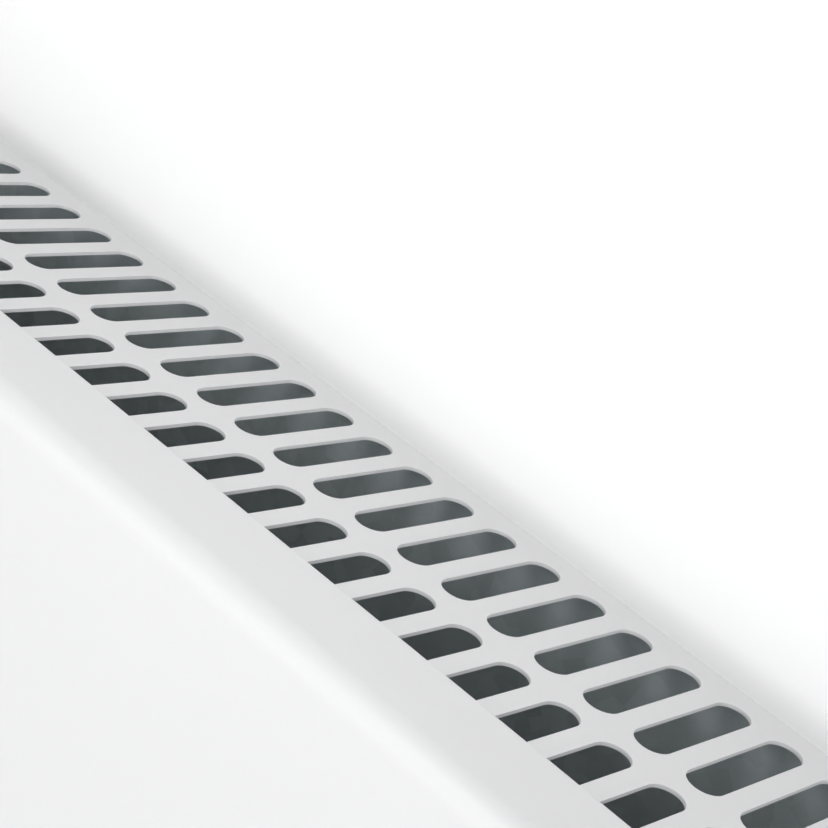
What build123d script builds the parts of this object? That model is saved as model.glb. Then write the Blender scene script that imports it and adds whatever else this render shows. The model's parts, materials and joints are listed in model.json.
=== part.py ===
# A slim electric panel heater that hangs on a wall bracket.
# Millimetres. The wall is the plane Y = 0 and the room is on its -Y side.
# The origin is the centre of the four wall screws, +Z is up and +X is the control end.
import os

from build123d import *

os.makedirs("parts", exist_ok=True)

# Casing
casing_length = 700.0
casing_height = 400.0
casing_depth = 79.7
wall_gap = 14.0
sheet = 0.75
bend_radius = 5.0
fold_radius = 1.0
cap_width = 12.0
cap_wall = 2.5
cap_back_radius = 2.0
cap_inner_radius = 0.5
cap_edge_radius = 1.2
lip_depth = 21.0
lip_drop = 2.25
lip_rim_radius = 1.25
bottom_flange = 14.0
flange_height = 12.0
end_flange = 14.0
side_clearance = 0.25
rest_clearance = 0.1

# Grilles
slot_width = 7.0
slot_length = 30.0
slot_pitch = 11.25
back_row_inset = 20.4
row_spacing = 34.5
slot_margin = 12.5
bottom_row_spacing = 32.0
front_flange_inset = 3.2

# Fasteners
screw_r = 1.75
screw_head_r = 3.5
screw_head_height = 2.2
screw_length = 9.0
hole_clearance = 0.1
back_screw_edge = 28.0
back_screw_count = 5
back_screw_inset = 7.0
upper_screw_step = 100.0
front_screw_edge = 38.0
front_screw_count = 5
cap_screw_inset = 30.0
cap_boss_r = 5.0
cap_recess_depth = 3.0

# Heat shield and partition
shield_sheet = 0.6
shield_gap = 15.0
shield_below_top = 50.0
shield_above_bottom = 15.0
control_space = 70.0
partition_flange = 12.0
partition_margin = 1.0

# Heating element
element_inset = 31.25
element_above_bottom = 80.0
element_left_margin = 53.0
element_right_margin = 43.0
hub_r = 7.0
rod_r = 4.0
rod_clearance = 0.05
rod_overhang = 20.0
arm_length = 26.0
arm_thickness = 2.0
arm_angle = 34.0
rib_height = 3.0
rib_places = (15.6, 24.7)
vent_width = 8.0
vent_length = 14.0
vent_pitch = 20.0
vent_offset = 16.0
insulator_r = 3.2
insulator_length = 7.0
pin_r = 1.5
pin_length = 12.0
bracket_sheet = 1.2
element_bracket_height = 44.0
element_bracket_reach = 46.0
element_bracket_foot = 18.0
element_bracket_offset = 12.0
bush_r = 7.0
bush_flange_r = 9.0
bush_flange = 1.5
bush_length = 5.0

# Thermal cut-out
cutout_x = 100.0
cutout_above_element = 60.0
cutout_r = 8.0
cutout_cap_height = 3.0
cutout_body_height = 9.0
cutout_flange_r = 11.0
cutout_flange = 1.0
hat_height = 12.0
hat_width = 28.0
hat_foot = 9.0
hat_length = 20.0
tab_width = 6.3
tab_thickness = 0.8
tab_length = 8.0

# Controls
knob_below_top = 90.0
switch_below_knob = 55.0
lamp_below_switch = 30.0
bezel_width = 50.0
bezel_above_knob = 30.0
bezel_below_lamp = 17.0
bezel_radius = 12.0
bezel_thickness = 2.0
knob_skirt_r = 20.0
knob_skirt = 3.0
knob_gap = 0.8
knob_r = 14.0
knob_height = 15.0
knob_flute_r = 2.2
knob_flutes = 16
pointer_width = 2.0
pointer_depth = 0.8
shaft_r = 3.0
shaft_flat = 0.8
shaft_clearance = 0.05
shaft_depth = 14.0
shaft_grip = 11.0
neck_r = 4.3
neck_clearance = 0.2
thermostat_size = 34.0
thermostat_depth = 26.0
thermostat_screw_spread = 10.0
small_screw_r = 1.5
small_head_r = 2.8
small_head_height = 1.5
bezel_opening_r = 15.0
terminal_spread = 10.0

# Mains switch and indicator
switch_half_width = 6.7
switch_half_height = 10.7
switch_depth = 18.0
switch_rim = 1.4
switch_rim_height = 1.4
switch_clearance = 0.1
rocker_half_width = 5.2
rocker_half_height = 8.4
rocker_tilt = 9.0
rocker_rise = 3.0
rocker_drop = 3.0
rocker_foot = 5.0
rocker_side_clearance = 0.3
rocker_end_clearance = 1.1
pivot_inset = 0.5
pivot_r = 1.0
pivot_clearance = 0.05
pivot_length = 1.0
switch_tab_spacing = 7.0
switch_tab_width = 4.8
lens_r = 4.0
lens_height = 2.5
lens_dome = 2.0
lamp_body_r = 3.9
lamp_body_length = 16.0
lamp_rim_r = 5.2
lamp_rim = 1.2
lamp_floor = 0.4
lamp_lead_spread = 2.2

# Thermostat sensor
bulb_r = 3.5
bulb_end_radius = 2.1
bulb_length = 60.0
bulb_partition_gap = 13.0
bulb_inset = 45.25
bulb_above_floor = 19.25
capillary_r = 0.75
clip_thickness = 1.0
clip_width = 12.0
clip_margin = 3.0
clip_inset = 12.0

# Mains side
gland_from_end = 30.0
gland_bore_r = 3.75
gland_r = 6.5
gland_flange_r = 9.5
gland_flange = 3.2
gland_rise = 12.0
gland_nut_r = 11.0
gland_nut_height = 4.0
block_from_end = 30.0
block_above_bottom = 100.0
block_length = 36.0
block_height = 20.0
block_depth = 16.0
block_way_spacing = 12.0
block_entry_r = 2.0
block_entry_depth = 8.0
block_screw_r = 2.0
block_screw_depth = 4.0
earth_from_end = 18.0
earth_above_bottom = 35.0
earth_r = 2.0
earth_length = 14.0
earth_nut_r = 4.0
earth_nut_height = 3.2
lug_r = 4.2
lug_thickness = 0.8
lug_stand = 2.0
lug_length = 14.0

# Leads
lead_r = 1.2
lead_bend = 7.0
lug_lead_bend = 5.0
short_bend = 4.0
grommet_bore_r = 1.6
grommet_r = 4.0
grommet_flange_r = 6.0
grommet_flange = 1.2
live_rise = 60.0
live_cross = 35.0
tab_stub = 14.0
control_cross_z = 20.0
element_turn = 8.0
neutral_stub = 12.0
neutral_drop = 20.0
neutral_loop = 26.0
earth_loop = 14.0
lug_crimp = 7.0
lamp_stub = 20.0
lamp_cross = 18.0
lamp_cross_z = -30.0
lamp_drop = 30.0
capillary_spread = 11.3
capillary_bow = 22.1

# Wall bracket
screw_spacing_x = 300.0
screw_spacing_z = 150.0
wall_hole_r = 2.75
rail_sheet = 1.2
rail_half_width = 13.0
rail_lip = 4.0
rail_radius = 1.5
rail_front_clearance = 0.6
rail_below_top = 35.0
rail_above_bottom = 42.0
crossbar_inset = 75.0
crossbar_height = 24.0
crossbar_flange = 7.0
hook_half_width = 6.0
hook_neck = 3.0
hook_height = 13.0
hook_tip = 2.0
hook_above_bottom = 60.0
hook_gap = 0.5
hook_side_clearance = 1.0
seat_below_top = 108.0
seat_thickness = 2.0
seat_length = 11.0

# Catches
latch_travel = 6.4
latch_below_top = 50.0
latch_height = 32.0
latch_side_clearance = 0.3
nose_half_width = 5.0
nose_above_latch = 10.0
nose_height = 6.0
nose_lip = 12.0
nose_lip_thickness = 2.0
nose_gap = 0.5
slot_clearance = 0.4
tongue_half_width = 6.0
tongue_thickness = 3.0
pad_half_width = 9.0
pad_thickness = 7.0
pad_height = 4.0
pad_below_top = 23.0
spring_r = 3.6
spring_wire_r = 0.45
spring_turns = 8
spring_stub_r = 2.4
spring_stub_length = 5.0

# Spacers on the wall
spacer_from_end = 48.0
spacer_above_bottom = 25.0
spacer_r = 9.0
spacer_stem_r = 4.0
spacer_stem_length = 5.0

# Places that follow from the sizes
back_y = -wall_gap
back_inner_y = back_y - sheet
plate_back_y = back_y + sheet
front_y = back_y - casing_depth
front_inner_y = front_y + sheet
middle_y = (back_y + front_y) / 2
top_z = casing_height / 2
bottom_z = -casing_height / 2
plate_z = top_z - lip_drop
floor_z = bottom_z + sheet
half_length = casing_length / 2
casing_x = half_length - cap_width
cap_inner_x = half_length - cap_wall
grille_x = casing_x - sheet - side_clearance
front_flange_y = front_y + front_flange_inset
bottom_flange_y = front_y + bend_radius + side_clearance
back_row_y = back_y - back_row_inset
shield_y = front_inner_y + shield_gap
rail_depth = wall_gap - rail_front_clearance
bezel_x = half_length + bezel_thickness
side_screw_y = back_y - end_flange / 2
partition_x = casing_x - control_space
shield_top = top_z - shield_below_top
shield_bottom = bottom_z + shield_above_bottom
element_y = back_inner_y - element_inset
element_z = bottom_z + element_above_bottom
element_start = -casing_x + element_left_margin
element_end = partition_x - element_right_margin
cutout_z = element_z + cutout_above_element
knob_z = top_z - knob_below_top
switch_z = knob_z - switch_below_knob
lamp_z = switch_z - lamp_below_switch
bezel_top = knob_z + bezel_above_knob
bezel_bottom = lamp_z - bezel_below_lamp
bulb_end = partition_x - bulb_partition_gap
bulb_start = bulb_end - bulb_length
bulb_y = back_inner_y - bulb_inset
bulb_z = floor_z + bulb_above_floor
gland_x = casing_x - gland_from_end
gland_y = middle_y
block_x = casing_x - block_from_end
block_z = bottom_z + block_above_bottom
earth_x = casing_x - earth_from_end
earth_z = bottom_z + earth_above_bottom
spacer_x = casing_x - spacer_from_end
spacer_z = bottom_z + spacer_above_bottom
rail_top = top_z - rail_below_top
rail_bottom = bottom_z + rail_above_bottom
crossbar_z = top_z - crossbar_inset
hook_z = bottom_z + hook_above_bottom
seat_z = top_z - seat_below_top
latch_top = top_z - latch_below_top
latch_bottom = latch_top - latch_height
nose_z = latch_bottom + nose_above_latch
pad_top = top_z - pad_below_top

# Slots and what lines up with them
top_slots = int((2 * (grille_x - slot_margin) - slot_width) / slot_pitch) + 1
bottom_slots_start = -grille_x + slot_margin + slot_width
bottom_slots = int((partition_x - slot_margin - bottom_slots_start) / slot_pitch) + 1
bottom_front_row_end = back_row_y - bottom_row_spacing - slot_length / 2
front_screw_y = (bottom_front_row_end + bottom_flange_y + sheet) / 2

# Grommets in the partition, as (y, z)
cutout_tab_y = (
    back_inner_y - hat_height - cutout_flange - cutout_cap_height - cutout_body_height / 2
)
control_grommet = (cutout_tab_y, cutout_z)
neutral_grommet = (element_y, element_z)
sensor_grommet = (bulb_y, bulb_z)


def save(part, name):
    part.label = name
    export_step(part, f"parts/{name}.step")
    print(f"{name}: {len(part.solids())} solids, {part.volume:.1f} mm3")


def folded_section(plane, points, radius, thickness, side):
    """Section of a folded sheet, from the corners of its outer line."""
    with BuildSketch(plane) as section:
        with BuildLine():
            FilletPolyline(*points, radius=radius)
            offset(amount=thickness, side=side)
        make_face()
    return section.sketch


def tube(points, radius, bend):
    """A lead or capillary along straight runs joined by arcs."""
    with BuildPart() as lead:
        with BuildLine() as route:
            FilletPolyline(*points, radius=bend)
        with BuildSketch(Plane(route.line @ 0, z_dir=route.line % 0)):
            Circle(radius)
        sweep()
    return lead.part


def pan_screw(radius, head_radius, head_height, length):
    """Screw at the origin, head above the plane Z = 0, with a cross recess."""
    cross_width = head_radius / 4
    cross_depth = head_height / 2
    point = radius / 3
    with BuildPart() as screw:
        with BuildSketch():
            Circle(head_radius)
        extrude(amount=head_height)
        fillet(screw.faces().sort_by(Axis.Z)[-1].edges(), radius=head_height / 2)
        with BuildSketch(Plane.XY.offset(head_height)):
            Rectangle(head_radius, cross_width)
            Rectangle(cross_width, head_radius)
        extrude(amount=-cross_depth, mode=Mode.SUBTRACT)
        with BuildSketch():
            Circle(radius)
        extrude(amount=-length)
        chamfer(screw.faces().sort_by(Axis.Z)[0].edges(), length=point)
    return screw.part


def screw_group(name, planes, screw):
    """The same screw on each plane, heads on the side the plane faces."""
    with BuildPart() as group:
        with Locations(*planes):
            add(screw)
    save(group.part, name)


casing_screw = pan_screw(screw_r, screw_head_r, screw_head_height, screw_length)
small_screw = pan_screw(small_screw_r, small_head_r, small_head_height, screw_length)
hole_r = screw_r + hole_clearance
small_hole_r = small_screw_r + hole_clearance

# Screw places in the back panel, as (x, z) seen from the front
back_screw_half = casing_x - back_screw_edge
back_screw_spacing = 2 * back_screw_half / (back_screw_count - 1)
back_screw_xs = [back_screw_spacing * n - back_screw_half for n in range(back_screw_count)]
upper_screw_xs = [side * (back_screw_half - step) for side in (-1, 1) for step in (0, upper_screw_step)]
upper_screws = [(x, plate_z - back_screw_inset) for x in upper_screw_xs]
lower_screws = [(x, floor_z + back_screw_inset) for x in back_screw_xs]
bracket_xs = (element_start - element_bracket_offset, element_end + element_bracket_offset)
foot_xs = (bracket_xs[0] - element_bracket_foot / 2, bracket_xs[1] + element_bracket_foot / 2)
foot_spread = element_bracket_height / 4
foot_screws = [(x, element_z + side * foot_spread) for x in foot_xs for side in (-1, 1)]
hat_foot_x = hat_width / 2 + hat_foot / 2
hat_screws = [(cutout_x + side * hat_foot_x, cutout_z) for side in (-1, 1)]
partition_screw_x = partition_x + partition_flange / 2 + shield_sheet
partition_screws = [(partition_screw_x, z) for z in (shield_top, 0.0, shield_bottom + cap_screw_inset)]
back_screws = lower_screws + foot_screws + hat_screws + partition_screws

# Screw places in the front panel's bottom flange, and in the ends
front_screw_half = casing_x - front_screw_edge
front_screw_spacing = 2 * front_screw_half / (front_screw_count - 1)
front_screw_xs = [front_screw_spacing * n - front_screw_half for n in range(front_screw_count)]
cap_screw_zs = (bottom_z + cap_screw_inset, top_z - cap_screw_inset)

# Places of the catches and their slots in the back panel
rail_xs = (-screw_spacing_x / 2, screw_spacing_x / 2)
latch_slot_top = nose_z + nose_height + slot_clearance
latch_overlap = nose_lip - nose_height - slot_clearance
latch_slot_height = nose_lip + latch_travel - latch_overlap + slot_clearance
hook_slot_height = hook_height + slot_clearance

# Back panel: a flat sheet with its ends folded forward
with BuildPart() as back_panel:
    back_line = [
        (-casing_x, back_y - end_flange),
        (-casing_x, back_y),
        (casing_x, back_y),
        (casing_x, back_y - end_flange),
    ]
    extrude(
        folded_section(Plane.XY.offset(floor_z), back_line, fold_radius, sheet, Side.RIGHT),
        amount=plate_z - fold_radius - rest_clearance - floor_z,
    )
    with BuildSketch(Plane.XZ.offset(wall_gap)):
        with Locations(*upper_screws, *back_screws):
            Circle(hole_r)
        with Locations((-spacer_x, spacer_z), (spacer_x, spacer_z)):
            Circle(spacer_stem_r)
        with Locations(*[(x, latch_slot_top - latch_slot_height / 2) for x in rail_xs]):
            Rectangle(2 * (nose_half_width + hook_side_clearance), latch_slot_height)
        with Locations(*[(x, hook_z - hook_slot_height / 2) for x in rail_xs]):
            Rectangle(2 * (hook_half_width + hook_side_clearance), hook_slot_height)
    extrude(amount=sheet, mode=Mode.SUBTRACT)
    with BuildSketch(Plane.YZ.offset(-casing_x)):
        with Locations(*[(side_screw_y, z) for z in cap_screw_zs]):
            Circle(hole_r)
    extrude(amount=2 * casing_x, mode=Mode.SUBTRACT)
save(back_panel.part, "back_panel")


def slot_rows(z, count, spacing, centre_x):
    """Two rows of slots; the row nearer the wall keeps its place."""
    with BuildSketch(Plane.XY.offset(z)) as rows:
        with Locations((centre_x, back_row_y - spacing / 2)):
            with GridLocations(slot_pitch, spacing, count, 2):
                SlotOverall(slot_length, slot_width, rotation=90)
    return rows.sketch


# Top grille: a plate with its edges folded down, the back one over the outside of the back panel
with BuildPart() as top_grille:
    top_line = [
        (plate_back_y, plate_z - flange_height),
        (plate_back_y, plate_z),
        (front_flange_y, plate_z),
        (front_flange_y, plate_z - flange_height),
    ]
    extrude(
        folded_section(Plane.YZ.offset(-grille_x), top_line, fold_radius, sheet, Side.LEFT),
        amount=2 * grille_x,
    )
    extrude(slot_rows(plate_z, top_slots, row_spacing, 0.0), amount=-sheet, mode=Mode.SUBTRACT)
    with BuildSketch(Plane.XZ.offset(-plate_back_y)):
        with Locations(*upper_screws):
            Circle(hole_r)
    extrude(amount=sheet, mode=Mode.SUBTRACT)
save(top_grille.part, "top_grille")

# Bottom grille: the same plate turned over, plain below the controls
bottom_slots_middle = bottom_slots_start + slot_pitch * (bottom_slots - 1) / 2
with BuildPart() as bottom_grille:
    bottom_line = [
        (back_inner_y, floor_z + flange_height),
        (back_inner_y, floor_z),
        (bottom_flange_y, floor_z),
        (bottom_flange_y, floor_z + flange_height),
    ]
    extrude(
        folded_section(Plane.YZ.offset(-grille_x), bottom_line, fold_radius, sheet, Side.RIGHT),
        amount=2 * grille_x,
    )
    extrude(
        slot_rows(floor_z, bottom_slots, bottom_row_spacing, bottom_slots_middle),
        amount=sheet,
        mode=Mode.SUBTRACT,
    )
    with BuildSketch(Plane.XZ.offset(-back_inner_y)):
        with Locations(*lower_screws):
            Circle(hole_r)
    extrude(amount=sheet, mode=Mode.SUBTRACT)
    with BuildSketch(Plane.XY.offset(floor_z)):
        with Locations(*[(x, front_screw_y) for x in front_screw_xs]):
            Circle(hole_r)
        with Locations((gland_x, gland_y)):
            Circle(gland_r + hole_clearance)
    extrude(amount=sheet, mode=Mode.SUBTRACT)
save(bottom_grille.part, "bottom_grille")

# Front panel: lip with a rounded rim, top bend, front face, bottom bend and flange
with BuildPart() as front_panel:
    lip_y = front_y + lip_depth
    front_line = [
        (lip_y, plate_z + rest_clearance),
        (lip_y, top_z),
        (front_y, top_z),
        (front_y, bottom_z),
        (front_y + bottom_flange, bottom_z),
    ]
    extrude(
        folded_section(
            Plane.YZ.offset(-casing_x),
            front_line,
            [lip_rim_radius, bend_radius, bend_radius],
            sheet,
            Side.LEFT,
        ),
        amount=2 * casing_x,
    )
    with BuildSketch(Plane.XY.offset(bottom_z)):
        with Locations(*[(x, front_screw_y) for x in front_screw_xs]):
            Circle(hole_r)
    extrude(amount=sheet, mode=Mode.SUBTRACT)
save(front_panel.part, "front_panel")


def end_outline(plane, inset):
    """Outline of the casing's end, drawn in by a wall's thickness."""
    with BuildSketch(plane) as outline:
        with Locations((middle_y, 0)):
            Rectangle(casing_depth - 2 * inset, casing_height - 2 * inset)
        corners = outline.vertices().group_by(Axis.X)
        fillet(corners[0], radius=bend_radius - inset)
        fillet(corners[-1], radius=max(cap_back_radius - inset, cap_inner_radius))
    return outline.sketch


def end_cap(side):
    """Moulded end of the casing, open towards the inside, with two screw bosses."""
    inner_plane = Plane.YZ.offset(side * casing_x)
    outer_plane = Plane.YZ.offset(side * half_length)
    with BuildPart() as cap:
        extrude(end_outline(inner_plane, 0.0), amount=side * cap_width)
        outer_face = cap.faces().sort_by(Axis.X)[-1 if side > 0 else 0]
        fillet(outer_face.edges(), radius=cap_edge_radius)
        extrude(
            end_outline(inner_plane, cap_wall),
            amount=side * (cap_width - cap_wall),
            mode=Mode.SUBTRACT,
        )
        with BuildSketch(inner_plane):
            with Locations(*[(side_screw_y, z) for z in cap_screw_zs]):
                Circle(cap_boss_r)
        extrude(amount=side * (cap_width - cap_wall))
        with BuildSketch(inner_plane):
            with Locations(*[(side_screw_y, z) for z in cap_screw_zs]):
                Circle(hole_r)
        extrude(amount=side * cap_width, mode=Mode.SUBTRACT)
        with BuildSketch(outer_plane):
            with Locations(*[(side_screw_y, z) for z in cap_screw_zs]):
                Circle(screw_head_r + hole_clearance)
        extrude(amount=-side * cap_recess_depth, mode=Mode.SUBTRACT)
    return cap.part


save(end_cap(-1), "end_cap_left")

# The right-hand cap also carries the controls
thermostat_screw_zs = (knob_z - thermostat_screw_spread, knob_z + thermostat_screw_spread)
with BuildPart() as end_cap_right:
    add(end_cap(1))
    with BuildSketch(Plane.YZ.offset(half_length)):
        with Locations((middle_y, knob_z)):
            Circle(neck_r + neck_clearance)
        with Locations(*[(middle_y, z) for z in thermostat_screw_zs]):
            Circle(small_hole_r)
        with Locations((middle_y, switch_z)):
            Rectangle(
                2 * (switch_half_width + switch_clearance),
                2 * (switch_half_height + switch_clearance),
            )
        with Locations((middle_y, lamp_z)):
            Circle(lamp_body_r + hole_clearance)
    extrude(amount=-cap_wall, mode=Mode.SUBTRACT)
save(end_cap_right.part, "end_cap_right")

# Control bezel: a plate round the knob, the switch and the indicator
with BuildPart() as control_bezel:
    with BuildSketch(Plane.YZ.offset(half_length)):
        with Locations((middle_y, (bezel_top + bezel_bottom) / 2)):
            RectangleRounded(bezel_width, bezel_top - bezel_bottom, bezel_radius)
        with Locations((middle_y, knob_z)):
            Circle(bezel_opening_r, mode=Mode.SUBTRACT)
        with Locations((middle_y, switch_z)):
            Rectangle(
                2 * (switch_half_width + switch_clearance),
                2 * (switch_half_height + switch_clearance),
                mode=Mode.SUBTRACT,
            )
        with Locations((middle_y, lamp_z)):
            Circle(lamp_body_r + hole_clearance, mode=Mode.SUBTRACT)
    extrude(amount=bezel_thickness)
    rim = control_bezel.faces().sort_by(Axis.X)[-1].outer_wire()
    fillet(rim.edges(), radius=bezel_thickness / 2)
save(control_bezel.part, "control_bezel")

# Heat shield: a bright sheet that stands off the front panel on its folded edges
with BuildPart() as heat_shield:
    shield_line = [
        (front_inner_y, shield_top),
        (shield_y, shield_top),
        (shield_y, shield_bottom),
        (front_inner_y, shield_bottom),
    ]
    extrude(
        folded_section(Plane.YZ.offset(-grille_x), shield_line, fold_radius, shield_sheet, Side.RIGHT),
        amount=grille_x + partition_x - partition_margin,
    )
save(heat_shield.part, "heat_shield")

# Partition between the air duct and the control space
with BuildPart() as partition_plate:
    partition_line = [
        (partition_x + partition_flange, back_inner_y),
        (partition_x, back_inner_y),
        (partition_x, bottom_flange_y + partition_margin + sheet),
    ]
    flange_low = floor_z + flange_height + partition_margin
    flange_high = plate_z - flange_height - partition_margin
    extrude(
        folded_section(
            Plane.XY.offset(flange_low), partition_line, fold_radius, shield_sheet, Side.LEFT
        ),
        amount=flange_high - flange_low,
    )
    with BuildSketch(Plane.YZ.offset(partition_x)):
        plate_back = back_inner_y - sheet - partition_margin
        plate_front = bottom_flange_y + partition_margin + sheet
        plate_low = floor_z + sheet + side_clearance
        plate_high = plate_z - sheet - side_clearance
        with Locations(((plate_back + plate_front) / 2, (plate_low + plate_high) / 2)):
            Rectangle(plate_back - plate_front, plate_high - plate_low)
    extrude(amount=shield_sheet)
    with BuildSketch(Plane.YZ.offset(partition_x)):
        with Locations(control_grommet, neutral_grommet, sensor_grommet):
            Circle(grommet_r)
    extrude(amount=shield_sheet, mode=Mode.SUBTRACT)
    with BuildSketch(Plane.XZ.offset(-back_inner_y)):
        with Locations(*partition_screws):
            Circle(hole_r)
    extrude(amount=shield_sheet, mode=Mode.SUBTRACT)
save(partition_plate.part, "partition_plate")

# Grommets, gripped by the edge of each hole in the partition
grommet_start = partition_x - grommet_flange
with BuildPart() as partition_grommets:
    for place in (control_grommet, neutral_grommet, sensor_grommet):
        for start, depth, radius in (
            (grommet_start, grommet_flange, grommet_flange_r),
            (partition_x, shield_sheet, grommet_r),
            (partition_x + shield_sheet, grommet_flange, grommet_flange_r),
        ):
            with BuildSketch(Plane.YZ.offset(start)):
                with Locations(place):
                    Circle(radius)
                    Circle(grommet_bore_r, mode=Mode.SUBTRACT)
            extrude(amount=depth)
save(partition_grommets.part, "partition_grommets")

# Element profile: a hub with four ribbed arms, vented between them
with BuildPart() as element_profile:
    element_length = element_end - element_start
    with BuildSketch(Plane.YZ.offset(element_start)):
        with Locations((element_y, element_z)):
            Circle(hub_r)
            for angle in (arm_angle, 180 - arm_angle, 180 + arm_angle, -arm_angle):
                with Locations(Rotation(0, 0, angle)):
                    with Locations((arm_length / 2, 0)):
                        Rectangle(arm_length, arm_thickness)
                    for place in rib_places:
                        with Locations((place, 0)):
                            Rectangle(arm_thickness / 2, 2 * rib_height)
        with Locations((element_y, element_z)):
            Circle(rod_r + rod_clearance, mode=Mode.SUBTRACT)
    extrude(amount=element_length)
    vent_count = int((element_length - vent_pitch) / vent_pitch)
    with BuildSketch(Plane.XY.offset(element_z)):
        with Locations(((element_start + element_end) / 2, element_y)):
            with GridLocations(vent_pitch, 2 * vent_offset, vent_count, 2):
                SlotOverall(vent_length, vent_width)
    extrude(amount=arm_length, both=True, mode=Mode.SUBTRACT)
save(element_profile.part, "element_profile")

# Heating rod, with an insulating bead and a terminal pin at each end
rod_start = element_start - rod_overhang
rod_end = element_end + rod_overhang
with BuildPart() as element_rod:
    with BuildSketch(Plane.YZ.offset(rod_start)):
        with Locations((element_y, element_z)):
            Circle(rod_r)
    extrude(amount=rod_end - rod_start)
save(element_rod.part, "element_rod")

with BuildPart() as element_insulators:
    for start, side in ((rod_start, -1), (rod_end, 1)):
        with BuildSketch(Plane.YZ.offset(start)):
            with Locations((element_y, element_z)):
                Circle(insulator_r)
        extrude(amount=side * insulator_length)
save(element_insulators.part, "element_insulators")

pin_ends = (rod_start - insulator_length - pin_length, rod_end + insulator_length + pin_length)
with BuildPart() as element_pins:
    for end, side in ((pin_ends[0], 1), (pin_ends[1], -1)):
        with BuildSketch(Plane.YZ.offset(end)):
            with Locations((element_y, element_z)):
                Circle(pin_r)
        extrude(amount=side * pin_length)
save(element_pins.part, "element_pins")

# Brackets that hold the element off the back panel
for name, web_x, side in (
    ("element_bracket_left", bracket_xs[0], -1),
    ("element_bracket_right", bracket_xs[1], 1),
):
    with BuildPart() as element_bracket:
        bracket_line = [
            (web_x + side * element_bracket_foot, back_inner_y),
            (web_x, back_inner_y),
            (web_x, back_inner_y - element_bracket_reach),
        ]
        extrude(
            folded_section(
                Plane.XY.offset(element_z - element_bracket_height / 2),
                bracket_line,
                fold_radius + bracket_sheet,
                bracket_sheet,
                Side.LEFT if side > 0 else Side.RIGHT,
            ),
            amount=element_bracket_height,
        )
        with BuildSketch(Plane.YZ.offset(web_x)):
            with Locations((element_y, element_z)):
                Circle(bush_r)
        extrude(amount=side * bracket_sheet, mode=Mode.SUBTRACT)
        with BuildSketch(Plane.XZ.offset(-back_inner_y)):
            with Locations(*foot_screws):
                Circle(hole_r)
        extrude(amount=bracket_sheet, mode=Mode.SUBTRACT)
    save(element_bracket.part, name)

# Bushes that let the rod grow in its brackets as it heats
with BuildPart() as element_bushes:
    for web_x, side in ((bracket_xs[0], -1), (bracket_xs[1], 1)):
        for start, depth, radius in (
            (web_x, bush_length, bush_r),
            (web_x, -bush_flange, bush_flange_r),
        ):
            with BuildSketch(Plane.YZ.offset(start)):
                with Locations((element_y, element_z)):
                    Circle(radius)
                    Circle(rod_r + rod_clearance, mode=Mode.SUBTRACT)
            extrude(amount=side * depth)
save(element_bushes.part, "element_bushes")

# Thermal cut-out on its hat-shaped bracket above the element
hat_y = back_inner_y - hat_height
with BuildPart() as cutout_bracket:
    hat_line = [
        (cutout_x - hat_width / 2 - hat_foot, back_inner_y - shield_sheet),
        (cutout_x - hat_width / 2, back_inner_y - shield_sheet),
        (cutout_x - hat_width / 2, hat_y),
        (cutout_x + hat_width / 2, hat_y),
        (cutout_x + hat_width / 2, back_inner_y - shield_sheet),
        (cutout_x + hat_width / 2 + hat_foot, back_inner_y - shield_sheet),
    ]
    extrude(
        folded_section(
            Plane.XY.offset(cutout_z - hat_length / 2), hat_line, fold_radius, shield_sheet, Side.LEFT
        ),
        amount=hat_length,
    )
    with BuildSketch(Plane.XZ.offset(-back_inner_y)):
        with Locations(*hat_screws):
            Circle(hole_r)
    extrude(amount=shield_sheet, mode=Mode.SUBTRACT)
save(cutout_bracket.part, "cutout_bracket")

with BuildPart() as thermal_cutout:
    for start, depth, radius in (
        (hat_y, cutout_flange, cutout_flange_r),
        (hat_y - cutout_flange, cutout_cap_height, cutout_r),
        (hat_y - cutout_flange - cutout_cap_height, cutout_body_height, cutout_r - shield_sheet),
    ):
        with BuildSketch(Plane.XZ.offset(-start)):
            with Locations((cutout_x, cutout_z)):
                Circle(radius)
        extrude(amount=depth)
    with BuildSketch(Plane.YZ.offset(cutout_x)):
        with Locations((cutout_tab_y, cutout_z)):
            Rectangle(tab_thickness, tab_width)
    extrude(amount=cutout_r + tab_length, both=True)
save(thermal_cutout.part, "thermal_cutout")

# Thermostat body, its neck through the cap and its two terminals
thermostat_x = cap_inner_x - rest_clearance
thermostat_back = thermostat_x - thermostat_depth
thermostat_tip = thermostat_back - tab_length
with BuildPart() as thermostat_body:
    with BuildSketch(Plane.YZ.offset(thermostat_back)):
        with Locations((middle_y, knob_z)):
            RectangleRounded(thermostat_size, thermostat_size, fold_radius)
    extrude(amount=thermostat_depth)
    with BuildSketch(Plane.YZ.offset(thermostat_x)):
        with Locations((middle_y, knob_z)):
            Circle(neck_r)
    extrude(amount=half_length - thermostat_x)
    with BuildSketch(Plane.YZ.offset(half_length)):
        with Locations((middle_y, knob_z)):
            Circle(shaft_r + shaft_clearance)
    extrude(amount=-shaft_depth - shaft_clearance, mode=Mode.SUBTRACT)
    with BuildSketch(Plane.YZ.offset(thermostat_x)):
        with Locations(*[(middle_y, z) for z in thermostat_screw_zs]):
            Circle(small_hole_r)
    extrude(amount=-screw_length, mode=Mode.SUBTRACT)
    with BuildSketch(Plane.YZ.offset(thermostat_back)):
        with Locations((middle_y - terminal_spread, knob_z), (middle_y + terminal_spread, knob_z)):
            Rectangle(tab_thickness, tab_width)
    extrude(amount=-tab_length)
save(thermostat_body.part, "thermostat_body")

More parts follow.
